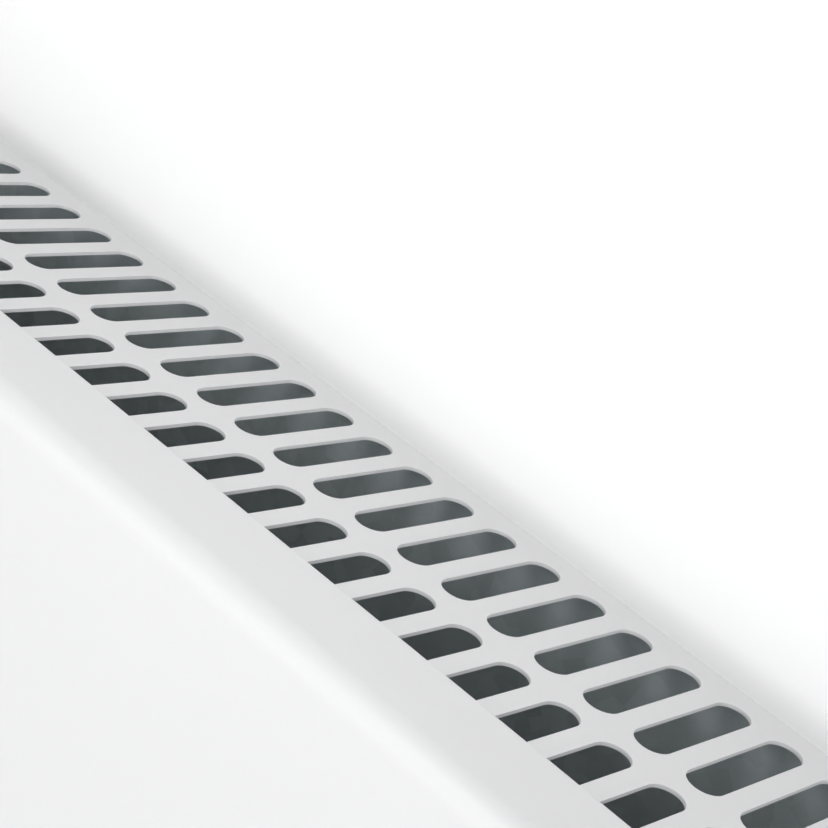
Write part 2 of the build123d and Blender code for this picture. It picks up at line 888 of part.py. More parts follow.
# Shaft with a flat, and the knob that it turns with
knob_start = bezel_x + knob_gap
knob_end = knob_start + knob_skirt + knob_height
with BuildPart() as thermostat_shaft:
    with BuildSketch(Plane.YZ.offset(half_length - shaft_depth)):
        with Locations((middle_y, knob_z)):
            Circle(shaft_r)
    extrude(amount=shaft_depth + knob_start - half_length + shaft_grip)
    with BuildSketch(Plane.YZ.offset(knob_start)):
        with Locations((middle_y, knob_z + 2 * shaft_r - shaft_flat)):
            Rectangle(2 * shaft_r, 2 * shaft_r)
    extrude(amount=shaft_grip, mode=Mode.SUBTRACT)
save(thermostat_shaft.part, "thermostat_shaft")

with BuildPart() as thermostat_knob:
    with BuildSketch(Plane.YZ.offset(knob_start)):
        with Locations((middle_y, knob_z)):
            Circle(knob_skirt_r)
    extrude(amount=knob_skirt)
    with BuildSketch(Plane.YZ.offset(knob_start + knob_skirt)):
        with Locations((middle_y, knob_z)):
            Circle(knob_r)
    extrude(amount=knob_height)
    ends = thermostat_knob.edges().filter_by(GeomType.CIRCLE)
    fillet(ends.group_by(Axis.X)[-1], radius=knob_gap)
    with BuildSketch(Plane.YZ.offset(knob_start + knob_skirt)):
        with Locations((middle_y, knob_z)):
            with PolarLocations(knob_r + knob_flute_r / 2, knob_flutes):
                Circle(knob_flute_r)
    extrude(amount=knob_height, mode=Mode.SUBTRACT)
    with BuildSketch(Plane.YZ.offset(knob_end)):
        with Locations((middle_y, knob_z + knob_r / 2)):
            Rectangle(pointer_width, knob_r)
    extrude(amount=-pointer_depth, mode=Mode.SUBTRACT)
    with BuildSketch(Plane.YZ.offset(knob_start)):
        with Locations((middle_y, knob_z)):
            Circle(shaft_r)
        with Locations((middle_y, knob_z + 2 * shaft_r - shaft_flat)):
            Rectangle(2 * shaft_r, 2 * shaft_r, mode=Mode.SUBTRACT)
    extrude(amount=shaft_grip, mode=Mode.SUBTRACT)
save(thermostat_knob.part, "thermostat_knob")

thermostat_screw_planes = [
    Plane(origin=(half_length, middle_y, z), z_dir=(1, 0, 0)) for z in thermostat_screw_zs
]
screw_group("thermostat_screws", thermostat_screw_planes, small_screw)

# Switch body: a box with a rim, a well for the rocker and three tabs behind
rocker_reach = rocker_half_height + rocker_end_clearance
pivot_x = bezel_x - pivot_inset
switch_back = bezel_x - switch_depth
with BuildPart() as switch_body:
    with BuildSketch(Plane.YZ.offset(switch_back)):
        with Locations((middle_y, switch_z)):
            Rectangle(2 * switch_half_width, 2 * switch_half_height)
    extrude(amount=switch_depth)
    with BuildSketch(Plane.YZ.offset(bezel_x)):
        with Locations((middle_y, switch_z)):
            RectangleRounded(
                2 * (switch_half_width + switch_rim),
                2 * (switch_half_height + switch_rim),
                switch_rim,
            )
    extrude(amount=switch_rim_height)
    with BuildSketch(Plane.YZ.offset(bezel_x + switch_rim_height)):
        with Locations((middle_y, switch_z)):
            Rectangle(2 * (rocker_half_width + rocker_side_clearance), 2 * rocker_reach)
    well_depth = switch_rim_height + pivot_inset + rocker_drop + rocker_reach - rocker_half_height
    extrude(amount=-well_depth - rocker_side_clearance, mode=Mode.SUBTRACT)
    with BuildSketch(Plane.XZ.offset(-middle_y)):
        with Locations((pivot_x, switch_z)):
            Circle(pivot_r + pivot_clearance)
    extrude(amount=rocker_half_width + pivot_length + pivot_clearance, both=True, mode=Mode.SUBTRACT)
    with BuildSketch(Plane.YZ.offset(switch_back)):
        with Locations((middle_y, switch_z)):
            with GridLocations(1, switch_tab_spacing, 1, 3):
                Rectangle(switch_tab_width, tab_thickness)
    extrude(amount=-tab_length)
save(switch_body.part, "switch_body")

# Rocker: two faces at a shallow angle on a pivot, tipped to its off position
with BuildPart() as switch_rocker:
    outwards = Vector(1, 0, 0).rotate(Axis.Y, -rocker_tilt)
    with BuildSketch(Plane(origin=(pivot_x, middle_y, switch_z), x_dir=outwards, z_dir=(0, -1, 0))):
        with BuildLine():
            Polyline(
                (-rocker_drop, -rocker_foot),
                (0, -rocker_half_height),
                (rocker_rise, -rocker_half_height),
                (pivot_inset + switch_rim_height, 0),
                (rocker_rise, rocker_half_height),
                (0, rocker_half_height),
                (-rocker_drop, rocker_foot),
                close=True,
            )
        make_face()
    extrude(amount=rocker_half_width, both=True)
    with BuildSketch(Plane.XZ.offset(-middle_y)):
        with Locations((pivot_x, switch_z)):
            Circle(pivot_r)
    extrude(amount=rocker_half_width + pivot_length, both=True)
save(switch_rocker.part, "switch_rocker")

# Indicator: a domed lens in a ring, on a tube that reaches inside
with BuildPart() as indicator_body:
    with BuildSketch(Plane.YZ.offset(bezel_x)):
        with Locations((middle_y, lamp_z)):
            Circle(lamp_rim_r)
    extrude(amount=lamp_rim)
    with BuildSketch(Plane.YZ.offset(bezel_x + lamp_floor)):
        with Locations((middle_y, lamp_z)):
            Circle(lens_r)
    extrude(amount=lamp_rim, mode=Mode.SUBTRACT)
    with BuildSketch(Plane.YZ.offset(bezel_x - lamp_body_length)):
        with Locations((middle_y, lamp_z)):
            Circle(lamp_body_r)
    extrude(amount=lamp_body_length)
save(indicator_body.part, "indicator_body")

with BuildPart() as indicator_lens:
    with BuildSketch(Plane.YZ.offset(bezel_x + lamp_floor)):
        with Locations((middle_y, lamp_z)):
            Circle(lens_r)
    extrude(amount=lens_height)
    fillet(indicator_lens.faces().sort_by(Axis.X)[-1].edges(), radius=lens_dome)
save(indicator_lens.part, "indicator_lens")

# Sensor bulb over the air intake, on two clips, and its capillary
with BuildPart() as sensor_bulb:
    with BuildSketch(Plane.YZ.offset(bulb_start)):
        with Locations((bulb_y, bulb_z)):
            Circle(bulb_r)
    extrude(amount=bulb_length)
    fillet(sensor_bulb.faces().sort_by(Axis.X)[0].edges(), radius=bulb_end_radius)
save(sensor_bulb.part, "sensor_bulb")

clip_foot_z = floor_z + sheet
clip_top_z = bulb_z + bulb_r + clip_margin
with BuildPart() as sensor_clips:
    for wanted_x in (bulb_start + clip_inset, bulb_end - clip_inset):
        bar = round((wanted_x - bottom_slots_start) / slot_pitch - 0.5)
        bar_x = bottom_slots_start + slot_pitch * (bar + 0.5)
        with BuildSketch(Plane.YZ.offset(bar_x - clip_thickness / 2)):
            with Locations((bulb_y, (clip_foot_z + clip_top_z) / 2)):
                Rectangle(clip_width, clip_top_z - clip_foot_z)
            with Locations((bulb_y, bulb_z)):
                Circle(bulb_r, mode=Mode.SUBTRACT)
        extrude(amount=clip_thickness)
save(sensor_clips.part, "sensor_clips")

capillary_top = (thermostat_x - thermostat_depth / 2, middle_y - capillary_spread)
capillary_y = middle_y - capillary_bow
capillary_points = [
    (*capillary_top, knob_z - thermostat_size / 2),
    (*capillary_top, knob_z - thermostat_size),
    (capillary_top[0], capillary_y, switch_z),
    (capillary_top[0], capillary_y, bulb_z + cap_screw_inset),
    (gland_x, bulb_y, bulb_z),
    (bulb_end, bulb_y, bulb_z),
]
save(tube(capillary_points, capillary_r, short_bend), "sensor_capillary")

# Cable inlet in the bottom, with its nut inside
with BuildPart() as cable_gland:
    with BuildSketch(Plane.XY.offset(floor_z)):
        with Locations((gland_x, gland_y)):
            Circle(gland_flange_r)
    extrude(amount=-gland_flange)
    fillet(cable_gland.faces().sort_by(Axis.Z)[0].edges(), radius=gland_flange / 2)
    with BuildSketch(Plane.XY.offset(floor_z)):
        with Locations((gland_x, gland_y)):
            Circle(gland_r)
    extrude(amount=gland_rise)
    with BuildSketch(Plane.XY.offset(floor_z - gland_flange)):
        with Locations((gland_x, gland_y)):
            Circle(gland_bore_r)
    extrude(amount=gland_flange + gland_rise, mode=Mode.SUBTRACT)
save(cable_gland.part, "cable_gland")

with BuildPart() as gland_nut:
    with BuildSketch(Plane.XY.offset(floor_z + sheet)):
        with Locations((gland_x, gland_y)):
            RegularPolygon(gland_nut_r, 6)
            Circle(gland_r, mode=Mode.SUBTRACT)
    extrude(amount=gland_nut_height)
save(gland_nut.part, "gland_nut")

# Terminal block with three ways, entered from above and below
block_ways = [block_x + block_way_spacing * n for n in (-1, 0, 1)]
block_top_z = block_z + block_height / 2
block_bottom_z = block_z - block_height / 2
block_entry_y = back_inner_y - block_depth / 2
block_front_y = back_inner_y - block_depth
block_screw_zs = (block_z - block_height / 4, block_z + block_height / 4)
block_screws = [(x, z) for x in block_ways for z in block_screw_zs]
with BuildPart() as terminal_block:
    with BuildSketch(Plane.XZ.offset(-back_inner_y)):
        with Locations((block_x, block_z)):
            RectangleRounded(block_length, block_height, fold_radius)
    extrude(amount=block_depth)
    for face_z, side in ((block_top_z, -1), (block_bottom_z, 1)):
        with BuildSketch(Plane.XY.offset(face_z)):
            with Locations(*[(x, block_entry_y) for x in block_ways]):
                Circle(block_entry_r)
        extrude(amount=side * block_entry_depth, mode=Mode.SUBTRACT)
    with BuildSketch(Plane.XZ.offset(-block_front_y)):
        with Locations(*block_screws):
            Circle(block_screw_r)
    extrude(amount=-block_screw_depth, mode=Mode.SUBTRACT)
save(terminal_block.part, "terminal_block")

with BuildPart() as terminal_screws:
    with BuildSketch(Plane.XZ.offset(-block_front_y - block_screw_depth)):
        with Locations(*block_screws):
            Circle(block_screw_r - hole_clearance)
    extrude(amount=block_screw_depth / 2)
save(terminal_screws.part, "terminal_screws")

# Earth stud on the back panel, with the lug and nut
with BuildPart() as earth_stud:
    with BuildSketch(Plane.XZ.offset(-back_inner_y)):
        with Locations((earth_x, earth_z)):
            Circle(earth_r)
    extrude(amount=earth_length)
save(earth_stud.part, "earth_stud")

lug_y = back_inner_y - lug_stand
lug_top_z = earth_z + lug_length
with BuildPart() as earth_lug:
    with BuildSketch(Plane.XZ.offset(-lug_y)):
        with Locations((earth_x, earth_z)):
            Circle(lug_r)
        with Locations((earth_x, earth_z + lug_length / 2)):
            Rectangle(2 * lead_r, lug_length)
        with Locations((earth_x, earth_z)):
            Circle(earth_r + hole_clearance, mode=Mode.SUBTRACT)
    extrude(amount=lug_thickness)
save(earth_lug.part, "earth_lug")

with BuildPart() as earth_nut:
    with BuildSketch(Plane.XZ.offset(-lug_y + lug_thickness)):
        with Locations((earth_x, earth_z)):
            RegularPolygon(earth_nut_r, 6)
            Circle(earth_r, mode=Mode.SUBTRACT)
    extrude(amount=earth_nut_height)
save(earth_nut.part, "earth_nut")

# Leads, each from terminal to terminal
switch_tip = switch_back - tab_length
live_riser = (block_ways[0], block_entry_y)
tab_zs = [switch_z + switch_tab_spacing * n for n in (-1, 0, 1)]
live_points = [
    (*live_riser, block_top_z),
    (*live_riser, block_top_z + live_rise),
    (block_ways[0], middle_y, block_top_z + live_rise + live_cross),
    (block_ways[0], middle_y, tab_zs[2]),
    (switch_tip, middle_y, tab_zs[2]),
]
save(tube(live_points, lead_r, lead_bend), "live_lead")

thermostat_tab_ys = (middle_y - terminal_spread, middle_y + terminal_spread)
switch_points = [
    (switch_tip, middle_y, tab_zs[1]),
    (switch_tip - tab_stub, middle_y, tab_zs[1]),
    (switch_tip - 2 * tab_stub, thermostat_tab_ys[0], tab_zs[1]),
    (switch_tip - 2 * tab_stub, thermostat_tab_ys[0], knob_z),
    (thermostat_tip, thermostat_tab_ys[0], knob_z),
]
save(tube(switch_points, lead_r, short_bend), "switch_lead")

control_riser_x = block_x - block_length / 2 - lead_bend / 2
cutout_tips = (cutout_x - cutout_r - tab_length, cutout_x + cutout_r + tab_length)
control_points = [
    (thermostat_tip, thermostat_tab_ys[1], knob_z),
    (control_riser_x, thermostat_tab_ys[1], knob_z),
    (control_riser_x, thermostat_tab_ys[1], control_cross_z),
    (control_riser_x, *control_grommet),
    (cutout_tips[1], cutout_tab_y, cutout_z),
]
save(tube(control_points, lead_r, lead_bend), "control_lead")

left_turn_x = pin_ends[0] - element_turn
element_points = [
    (cutout_tips[0], cutout_tab_y, cutout_z),
    (left_turn_x, cutout_tab_y, cutout_z),
    (left_turn_x, element_y, element_z),
    (pin_ends[0], element_y, element_z),
]
save(tube(element_points, lead_r, short_bend), "element_lead")

neutral_points = [
    (pin_ends[1], element_y, element_z),
    (partition_x + neutral_stub, element_y, element_z),
    (block_x - block_way_spacing, element_y, element_z - neutral_drop),
    (block_x, block_entry_y, block_bottom_z - neutral_loop),
    (block_x, block_entry_y, block_bottom_z),
]
save(tube(neutral_points, lead_r, lead_bend), "neutral_lead")

earth_points = [
    (block_ways[2], block_entry_y, block_bottom_z),
    (block_ways[2], block_entry_y, block_bottom_z - earth_loop),
    (earth_x, lug_y - lug_thickness - lead_r, lug_top_z),
    (earth_x, lug_y - lug_thickness - lead_r, lug_top_z - lug_crimp),
]
save(tube(earth_points, lead_r, lug_lead_bend), "earth_lead")

lamp_back = bezel_x - lamp_body_length
with BuildPart() as lamp_leads:
    lamp_neutral = [
        (lamp_back, middle_y + lamp_lead_spread, lamp_z),
        (block_x, middle_y + lamp_lead_spread, lamp_z),
        (block_x, middle_y + lamp_cross, lamp_cross_z),
        (block_x, block_entry_y, block_top_z + lamp_drop),
        (block_x, block_entry_y, block_top_z),
    ]
    add(tube(lamp_neutral, lead_r, lead_bend))
    lamp_live = [
        (lamp_back, middle_y - lamp_lead_spread, lamp_z),
        (lamp_back - lamp_stub, middle_y - lamp_lead_spread, lamp_z),
        (lamp_back - lamp_stub, middle_y, tab_zs[0]),
        (switch_tip, middle_y, tab_zs[0]),
    ]
    add(tube(lamp_live, lead_r, short_bend))
save(lamp_leads.part, "lamp_leads")

# Bracket rails: lipped channels on the wall, each with a hook and a spring seat
for name, rail_x in (("bracket_rail_left", rail_xs[0]), ("bracket_rail_right", rail_xs[1])):
    with BuildPart() as bracket_rail:
        rail_line = [
            (rail_x - rail_half_width + rail_lip, -rail_depth),
            (rail_x - rail_half_width, -rail_depth),
            (rail_x - rail_half_width, 0),
            (rail_x + rail_half_width, 0),
            (rail_x + rail_half_width, -rail_depth),
            (rail_x + rail_half_width - rail_lip, -rail_depth),
        ]
        extrude(
            folded_section(Plane.XY.offset(rail_bottom), rail_line, rail_radius, rail_sheet, Side.RIGHT),
            amount=rail_top - rail_bottom,
        )
        with BuildSketch(Plane.XZ):
            with Locations((rail_x, screw_spacing_z / 2), (rail_x, -screw_spacing_z / 2)):
                Circle(wall_hole_r)
        extrude(amount=rail_sheet, mode=Mode.SUBTRACT)
        hook_end_y = back_inner_y - hook_gap - hook_tip
        with BuildSketch(Plane.YZ.offset(rail_x)):
            with BuildLine():
                Polyline(
                    (-rail_sheet / 2, hook_z),
                    (-rail_sheet / 2, hook_z - hook_neck),
                    (hook_end_y, hook_z - hook_neck),
                    (hook_end_y, hook_z - hook_neck + hook_height),
                    (hook_end_y + hook_tip, hook_z - hook_neck + hook_height),
                    (hook_end_y + hook_tip, hook_z),
                    close=True,
                )
            make_face()
        extrude(amount=hook_half_width, both=True)
        with BuildSketch(Plane.XY.offset(seat_z)):
            with Locations((rail_x, -rail_sheet / 2 - seat_length / 2)):
                Rectangle(2 * hook_half_width, seat_length)
        extrude(amount=seat_thickness)
    save(bracket_rail.part, name)

# Crossbars: channels between the rails, flat against the wall
crossbar_x = rail_xs[1] - rail_half_width
for name, bar_z in (("bracket_crossbar_upper", crossbar_z), ("bracket_crossbar_lower", -crossbar_z)):
    with BuildPart() as crossbar:
        bar_line = [
            (-crossbar_flange, bar_z - crossbar_height / 2),
            (0, bar_z - crossbar_height / 2),
            (0, bar_z + crossbar_height / 2),
            (-crossbar_flange, bar_z + crossbar_height / 2),
        ]
        extrude(
            folded_section(Plane.YZ.offset(-crossbar_x), bar_line, rail_radius, rail_sheet, Side.LEFT),
            amount=2 * crossbar_x,
        )
    save(crossbar.part, name)

# Catches: sliders in the rails, with a nose through the back panel and a push pad
latch_half_width = rail_half_width - rail_sheet - latch_side_clearance
latch_back_y = -rail_sheet - latch_side_clearance
latch_front_y = -rail_depth + rail_sheet + latch_side_clearance
latch_middle_y = (latch_back_y + latch_front_y) / 2
nose_lip_y = back_inner_y - nose_gap
for name, rail_x in (("latch_left", rail_xs[0]), ("latch_right", rail_xs[1])):
    with BuildPart() as latch:
        with BuildSketch(Plane.XY.offset(latch_bottom)):
            with Locations((rail_x, latch_middle_y)):
                Rectangle(2 * latch_half_width, latch_back_y - latch_front_y)
        extrude(amount=latch_top - latch_bottom)
        with BuildSketch(Plane.YZ.offset(rail_x)):
            with BuildLine():
                Polyline(
                    (latch_middle_y, nose_z),
                    (nose_lip_y - nose_lip_thickness, nose_z),
                    (nose_lip_y - nose_lip_thickness, nose_z + nose_lip),
                    (nose_lip_y, nose_z + nose_lip),
                    (nose_lip_y, nose_z + nose_height),
                    (latch_middle_y, nose_z + nose_height),
                    close=True,
                )
            make_face()
        extrude(amount=nose_half_width, both=True)
        with BuildSketch(Plane.XY.offset(latch_top)):
            with Locations((rail_x, latch_middle_y)):
                Rectangle(2 * tongue_half_width, tongue_thickness)
        extrude(amount=pad_top - pad_height - latch_top)
        with BuildSketch(Plane.XY.offset(pad_top - pad_height)):
            with Locations((rail_x, latch_middle_y)):
                RectangleRounded(2 * pad_half_width, pad_thickness, fold_radius)
        extrude(amount=pad_height)
        with BuildSketch(Plane.XY.offset(latch_bottom)):
            with Locations((rail_x, latch_middle_y)):
                Circle(spring_stub_r)
        extrude(amount=-spring_stub_length)
    save(latch.part, name)

# Springs under the catches
seat_top = seat_z + seat_thickness
spring_height = latch_bottom - seat_top - 2 * spring_wire_r
for name, rail_x in (("latch_spring_left", rail_xs[0]), ("latch_spring_right", rail_xs[1])):
    with BuildPart() as latch_spring:
        with BuildLine() as coil:
            Helix(
                pitch=spring_height / spring_turns,
                height=spring_height,
                radius=spring_r,
                center=(rail_x, latch_middle_y, seat_top + spring_wire_r),
            )
        with BuildSketch(Plane(coil.line @ 0, z_dir=coil.line % 0)):
            Circle(spring_wire_r)
        sweep()
    save(latch_spring.part, name)

# Spacers that stand the bottom of the casing off the wall
with BuildPart() as wall_spacers:
    with BuildSketch(Plane.XZ):
        with Locations((-spacer_x, spacer_z), (spacer_x, spacer_z)):
            Circle(spacer_r)
    extrude(amount=wall_gap)
    with BuildSketch(Plane.XZ.offset(wall_gap)):
        with Locations((-spacer_x, spacer_z), (spacer_x, spacer_z)):
            Circle(spacer_stem_r)
    extrude(amount=spacer_stem_length)
save(wall_spacers.part, "wall_spacers")

# Screws: through the back panel, up through the front panel, and in the ends
back_planes = [Plane(origin=(x, back_y, z), z_dir=(0, 1, 0)) for x, z in back_screws]
back_planes += [Plane(origin=(x, plate_back_y, z), z_dir=(0, 1, 0)) for x, z in upper_screws]
screw_group("back_panel_screws", back_planes, casing_screw)
front_planes = [Plane(origin=(x, front_screw_y, bottom_z), z_dir=(0, 0, -1)) for x in front_screw_xs]
screw_group("front_panel_screws", front_planes, casing_screw)
cap_screw = pan_screw(screw_r, screw_head_r, screw_head_height, cap_width)
cap_planes = [
    Plane(origin=(side * (half_length - cap_recess_depth), side_screw_y, z), z_dir=(side, 0, 0))
    for side in (-1, 1)
    for z in cap_screw_zs
]
screw_group("end_cap_screws", cap_planes, cap_screw)
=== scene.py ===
# A slim electric panel heater on its wall bracket: soft edges, finishes, dial marks and a studio.
# It is laid out as an add-on and run as a script. Metres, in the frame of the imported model.
import json
import math

import bmesh
import bpy
from mathutils import Euler, Matrix, Vector
from mathutils.bvhtree import BVHTree

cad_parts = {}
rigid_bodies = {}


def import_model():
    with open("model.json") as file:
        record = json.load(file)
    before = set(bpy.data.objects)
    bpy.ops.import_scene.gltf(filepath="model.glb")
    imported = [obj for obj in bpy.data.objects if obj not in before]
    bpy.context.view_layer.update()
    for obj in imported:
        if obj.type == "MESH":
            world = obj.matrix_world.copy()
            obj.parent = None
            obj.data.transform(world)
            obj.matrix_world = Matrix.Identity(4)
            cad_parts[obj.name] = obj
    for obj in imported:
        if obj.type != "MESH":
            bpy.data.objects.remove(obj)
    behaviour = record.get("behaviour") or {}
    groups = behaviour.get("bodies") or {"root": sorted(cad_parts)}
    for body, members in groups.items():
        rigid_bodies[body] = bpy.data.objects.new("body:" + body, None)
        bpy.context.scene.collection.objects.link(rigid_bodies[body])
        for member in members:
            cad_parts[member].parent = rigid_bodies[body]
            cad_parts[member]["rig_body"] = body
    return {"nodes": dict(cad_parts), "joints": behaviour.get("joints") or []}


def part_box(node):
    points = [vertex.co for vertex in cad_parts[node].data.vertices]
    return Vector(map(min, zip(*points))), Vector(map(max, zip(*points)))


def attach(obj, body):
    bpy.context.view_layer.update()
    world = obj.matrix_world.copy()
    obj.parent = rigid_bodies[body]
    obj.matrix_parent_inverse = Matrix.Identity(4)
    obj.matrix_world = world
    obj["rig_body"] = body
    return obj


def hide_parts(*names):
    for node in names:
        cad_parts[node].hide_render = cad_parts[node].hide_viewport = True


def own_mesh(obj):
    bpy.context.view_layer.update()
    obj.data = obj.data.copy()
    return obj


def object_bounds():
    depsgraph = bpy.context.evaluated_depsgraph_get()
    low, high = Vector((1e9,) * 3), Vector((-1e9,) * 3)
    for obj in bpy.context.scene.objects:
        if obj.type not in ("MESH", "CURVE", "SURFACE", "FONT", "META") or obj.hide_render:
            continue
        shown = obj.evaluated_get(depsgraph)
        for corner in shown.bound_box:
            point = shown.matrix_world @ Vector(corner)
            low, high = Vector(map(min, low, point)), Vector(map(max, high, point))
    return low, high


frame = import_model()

bl_info = {
    "name": "Panel Heater",
    "version": (1, 0, 0),
    "blender": (4, 5, 0),
    "location": "3D View > Sidebar > Heater",
    "description": "Soft edges, finishes, dial marks and a studio for a wall-hung panel heater",
    "category": "Object",
}

cad_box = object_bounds()

# Places read from the frame
front_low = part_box("front_panel")[0]
back_low, back_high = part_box("back_panel")
grille_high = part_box("top_grille")[1]
floor_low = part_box("bottom_grille")[0]
knob_low, knob_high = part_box("thermostat_knob")
rocker_low, rocker_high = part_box("switch_rocker")
rod_low, rod_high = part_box("element_rod")
knob_centre = (knob_low + knob_high) / 2
rocker_centre = (rocker_low + rocker_high) / 2
rod_centre = (rod_low + rod_high) / 2
heater_middle = (front_low + back_high) / 2

# Thickness of the casing's sheet, and the share of it that still counts as the cut edge
SHEET = 0.00075
CUT_EDGE = 0.95

# Meshes: points nearer than MERGE are one, faces within FLAT are one, edges over SHARP are rounded
MERGE = 0.000001
FLAT = math.radians(0.5)
SHARP = math.radians(38)

# Printed marks: sides of a dot, and the type size divided by how much it is thickened
DOT_SIDES = 16
SIZE_PER_WEIGHT = 90

# The studio: its colours, how far the wall stands behind the bracket, how white the background is,
# and how near to its lens the camera sees
WALL_COLOUR = (0.9, 0.9, 0.9)
FLOOR_COLOUR = (0.8, 0.8, 0.8)
ROOM_COLOUR = (0.98, 0.99, 1.0)
WHITE = (1.0, 1.0, 1.0)
WALL_CLEARANCE = 0.0003
BACKGROUND = 0.97
NEAREST_SEEN = 0.01

# The sun lamps in degrees: azimuth 0 is straight in front and 90 the control end.
# A lamp that isn't mirrored leaves no bright streak on a sheet seen from its edge.
SUNS = {
    "key": {"azimuth": 0, "elevation": -10, "spread": 70, "mirrored": True},
    "right": {"azimuth": 60, "elevation": 5, "spread": 40, "mirrored": False},
    "left": {"azimuth": -80, "elevation": 5, "spread": 40, "mirrored": False},
    "rear": {"azimuth": 170, "elevation": 15, "spread": 60, "mirrored": True},
}
SOFTBOX_ELEVATION = 45

# Node layouts that Blender numbers rather than names
MIX_FACTOR, MIX_FIRST, MIX_SECOND, MIX_RESULT = 0, 6, 7, 2


class HeaterPaint(bpy.types.PropertyGroup):
    """Colours and surface of the coated sheets"""

    white: bpy.props.FloatVectorProperty(
        name="White", description="Powder coat outside", subtype="COLOR", size=3,
        default=(0.845, 0.845, 0.85),
    )
    inside: bpy.props.FloatVectorProperty(
        name="Inside", description="Bare zinc-grey inside of the sheets", subtype="COLOR", size=3,
        default=(0.42, 0.465, 0.475),
    )
    moulding: bpy.props.FloatVectorProperty(
        name="Moulding", description="White plastic of the ends", subtype="COLOR", size=3,
        default=(0.77, 0.77, 0.77),
    )
    # Painted light: how far below the top the zinc inside is painted lighter, to offset the shade just under
    # the grille
    painted_light_reach: bpy.props.FloatProperty(
        name="Overspray", description="How far below the top the coat thins out inside",
        default=0.026, unit="LENGTH",
    )
    gloss: bpy.props.FloatProperty(
        name="Roughness", description="Roughness of the powder coat", default=0.42
    )
    peel: bpy.props.FloatProperty(
        name="Orange peel", description="Width of one ripple in the coat", default=0.0016, unit="LENGTH"
    )
    peel_depth: bpy.props.FloatProperty(
        name="Peel depth", description="Height of the ripples", default=0.000004, precision=6,
        unit="LENGTH",
    )


class HeaterEdges(bpy.types.PropertyGroup):
    """Radii that the real edges have"""

    sheet: bpy.props.FloatProperty(
        name="Sheet", description="Edge of coated sheet", default=0.00012, precision=5, unit="LENGTH"
    )
    moulding: bpy.props.FloatProperty(
        name="Moulding", description="Edge of moulded pieces", default=0.0003, precision=5,
        unit="LENGTH",
    )
    metal: bpy.props.FloatProperty(
        name="Metal", description="Edge of bare metal", default=0.0001, precision=5, unit="LENGTH"
    )


class HeaterMarks(bpy.types.PropertyGroup):
    """Printed marks round the knob and on the switch"""

    number_size: bpy.props.FloatProperty(
        name="Numbers", description="Type size of the dial's numbers", default=0.0036, unit="LENGTH"
    )
    circle: bpy.props.FloatProperty(
        name="Circle", description="Radius of the ring of numbers", default=0.0225, unit="LENGTH"
    )
    steps: bpy.props.IntProperty(
        name="Steps", description="Highest number on the dial", default=6
    )
    sweep: bpy.props.FloatProperty(
        name="Sweep", description="Turn from the first to the last number",
        default=math.radians(270), subtype="ANGLE",
    )
    dot: bpy.props.FloatProperty(
        name="Dots", description="Radius of the half-step dots", default=0.00035, precision=5,
        unit="LENGTH",
    )
    ink: bpy.props.FloatProperty(
        name="Ink", description="Thickness of the printed marks", default=0.00003, precision=6,
        unit="LENGTH",
    )
    switch_mark: bpy.props.FloatProperty(
        name="Switch marks", description="Height of the marks on the rocker", default=0.0036,
        unit="LENGTH",
    )


class HeaterStudio(bpy.types.PropertyGroup):
    """Camera, wall, floor and lamps"""

    camera_place: bpy.props.FloatVectorProperty(
        name="Camera", description="Where the camera stands", subtype="TRANSLATION", size=3,
        default=(0.20588, -0.32188, 0.35886), precision=5,
    )
    camera_turn: bpy.props.FloatVectorProperty(
        name="Turn", description="Euler angles of the camera", subtype="EULER", size=3, precision=5,
        default=(math.radians(66.4165), math.radians(-19.2212), math.radians(44.1401)),
    )
    lens: bpy.props.FloatProperty(
        name="Lens", description="Focal length in millimetres", default=92.125
    )
    sensor: bpy.props.FloatProperty(
        name="Sensor", description="Width of the picture in millimetres", default=36.0
    )
    wall_half: bpy.props.FloatProperty(
        name="Half wall", description="Half the width of wall and floor", default=8.0, unit="LENGTH"
    )
    floor_drop: bpy.props.FloatProperty(
        name="Floor", description="Height of the heater above the floor", default=0.2, unit="LENGTH"
    )
    wall_window: bpy.props.FloatProperty(
        name="Window inset",
        description="How far inside the casing the wall lets lamp light through to the back",
        default=0.018, unit="LENGTH",
    )
    wall_glow: bpy.props.FloatProperty(
        name="Wall glow", description="Light that the wall and floor add for the camera and mirrors",
        default=0.24,
    )
    key: bpy.props.FloatProperty(
        name="Key", description="Strength of the large lamp in front", default=1.62
    )
    right: bpy.props.FloatProperty(
        name="Right", description="Strength of the lamp on the right", default=1.5
    )
    left: bpy.props.FloatProperty(
        name="Left", description="Strength of the lamp on the left", default=1.0
    )
    rear: bpy.props.FloatProperty(
        name="Rear", description="Strength of the lamp behind", default=0.8
    )
    box: bpy.props.FloatProperty(
        name="Softbox", description="Power of the softbox near the grille", default=0.075
    )
    box_distance: bpy.props.FloatProperty(
        name="Softbox distance", description="From the grille to the softbox", default=0.2, unit="LENGTH"
    )
    box_size: bpy.props.FloatProperty(
        name="Softbox size", description="Width of the softbox", default=0.1, unit="LENGTH"
    )
    room: bpy.props.FloatProperty(
        name="Room", description="Strength of the light from all round", default=0.21
    )


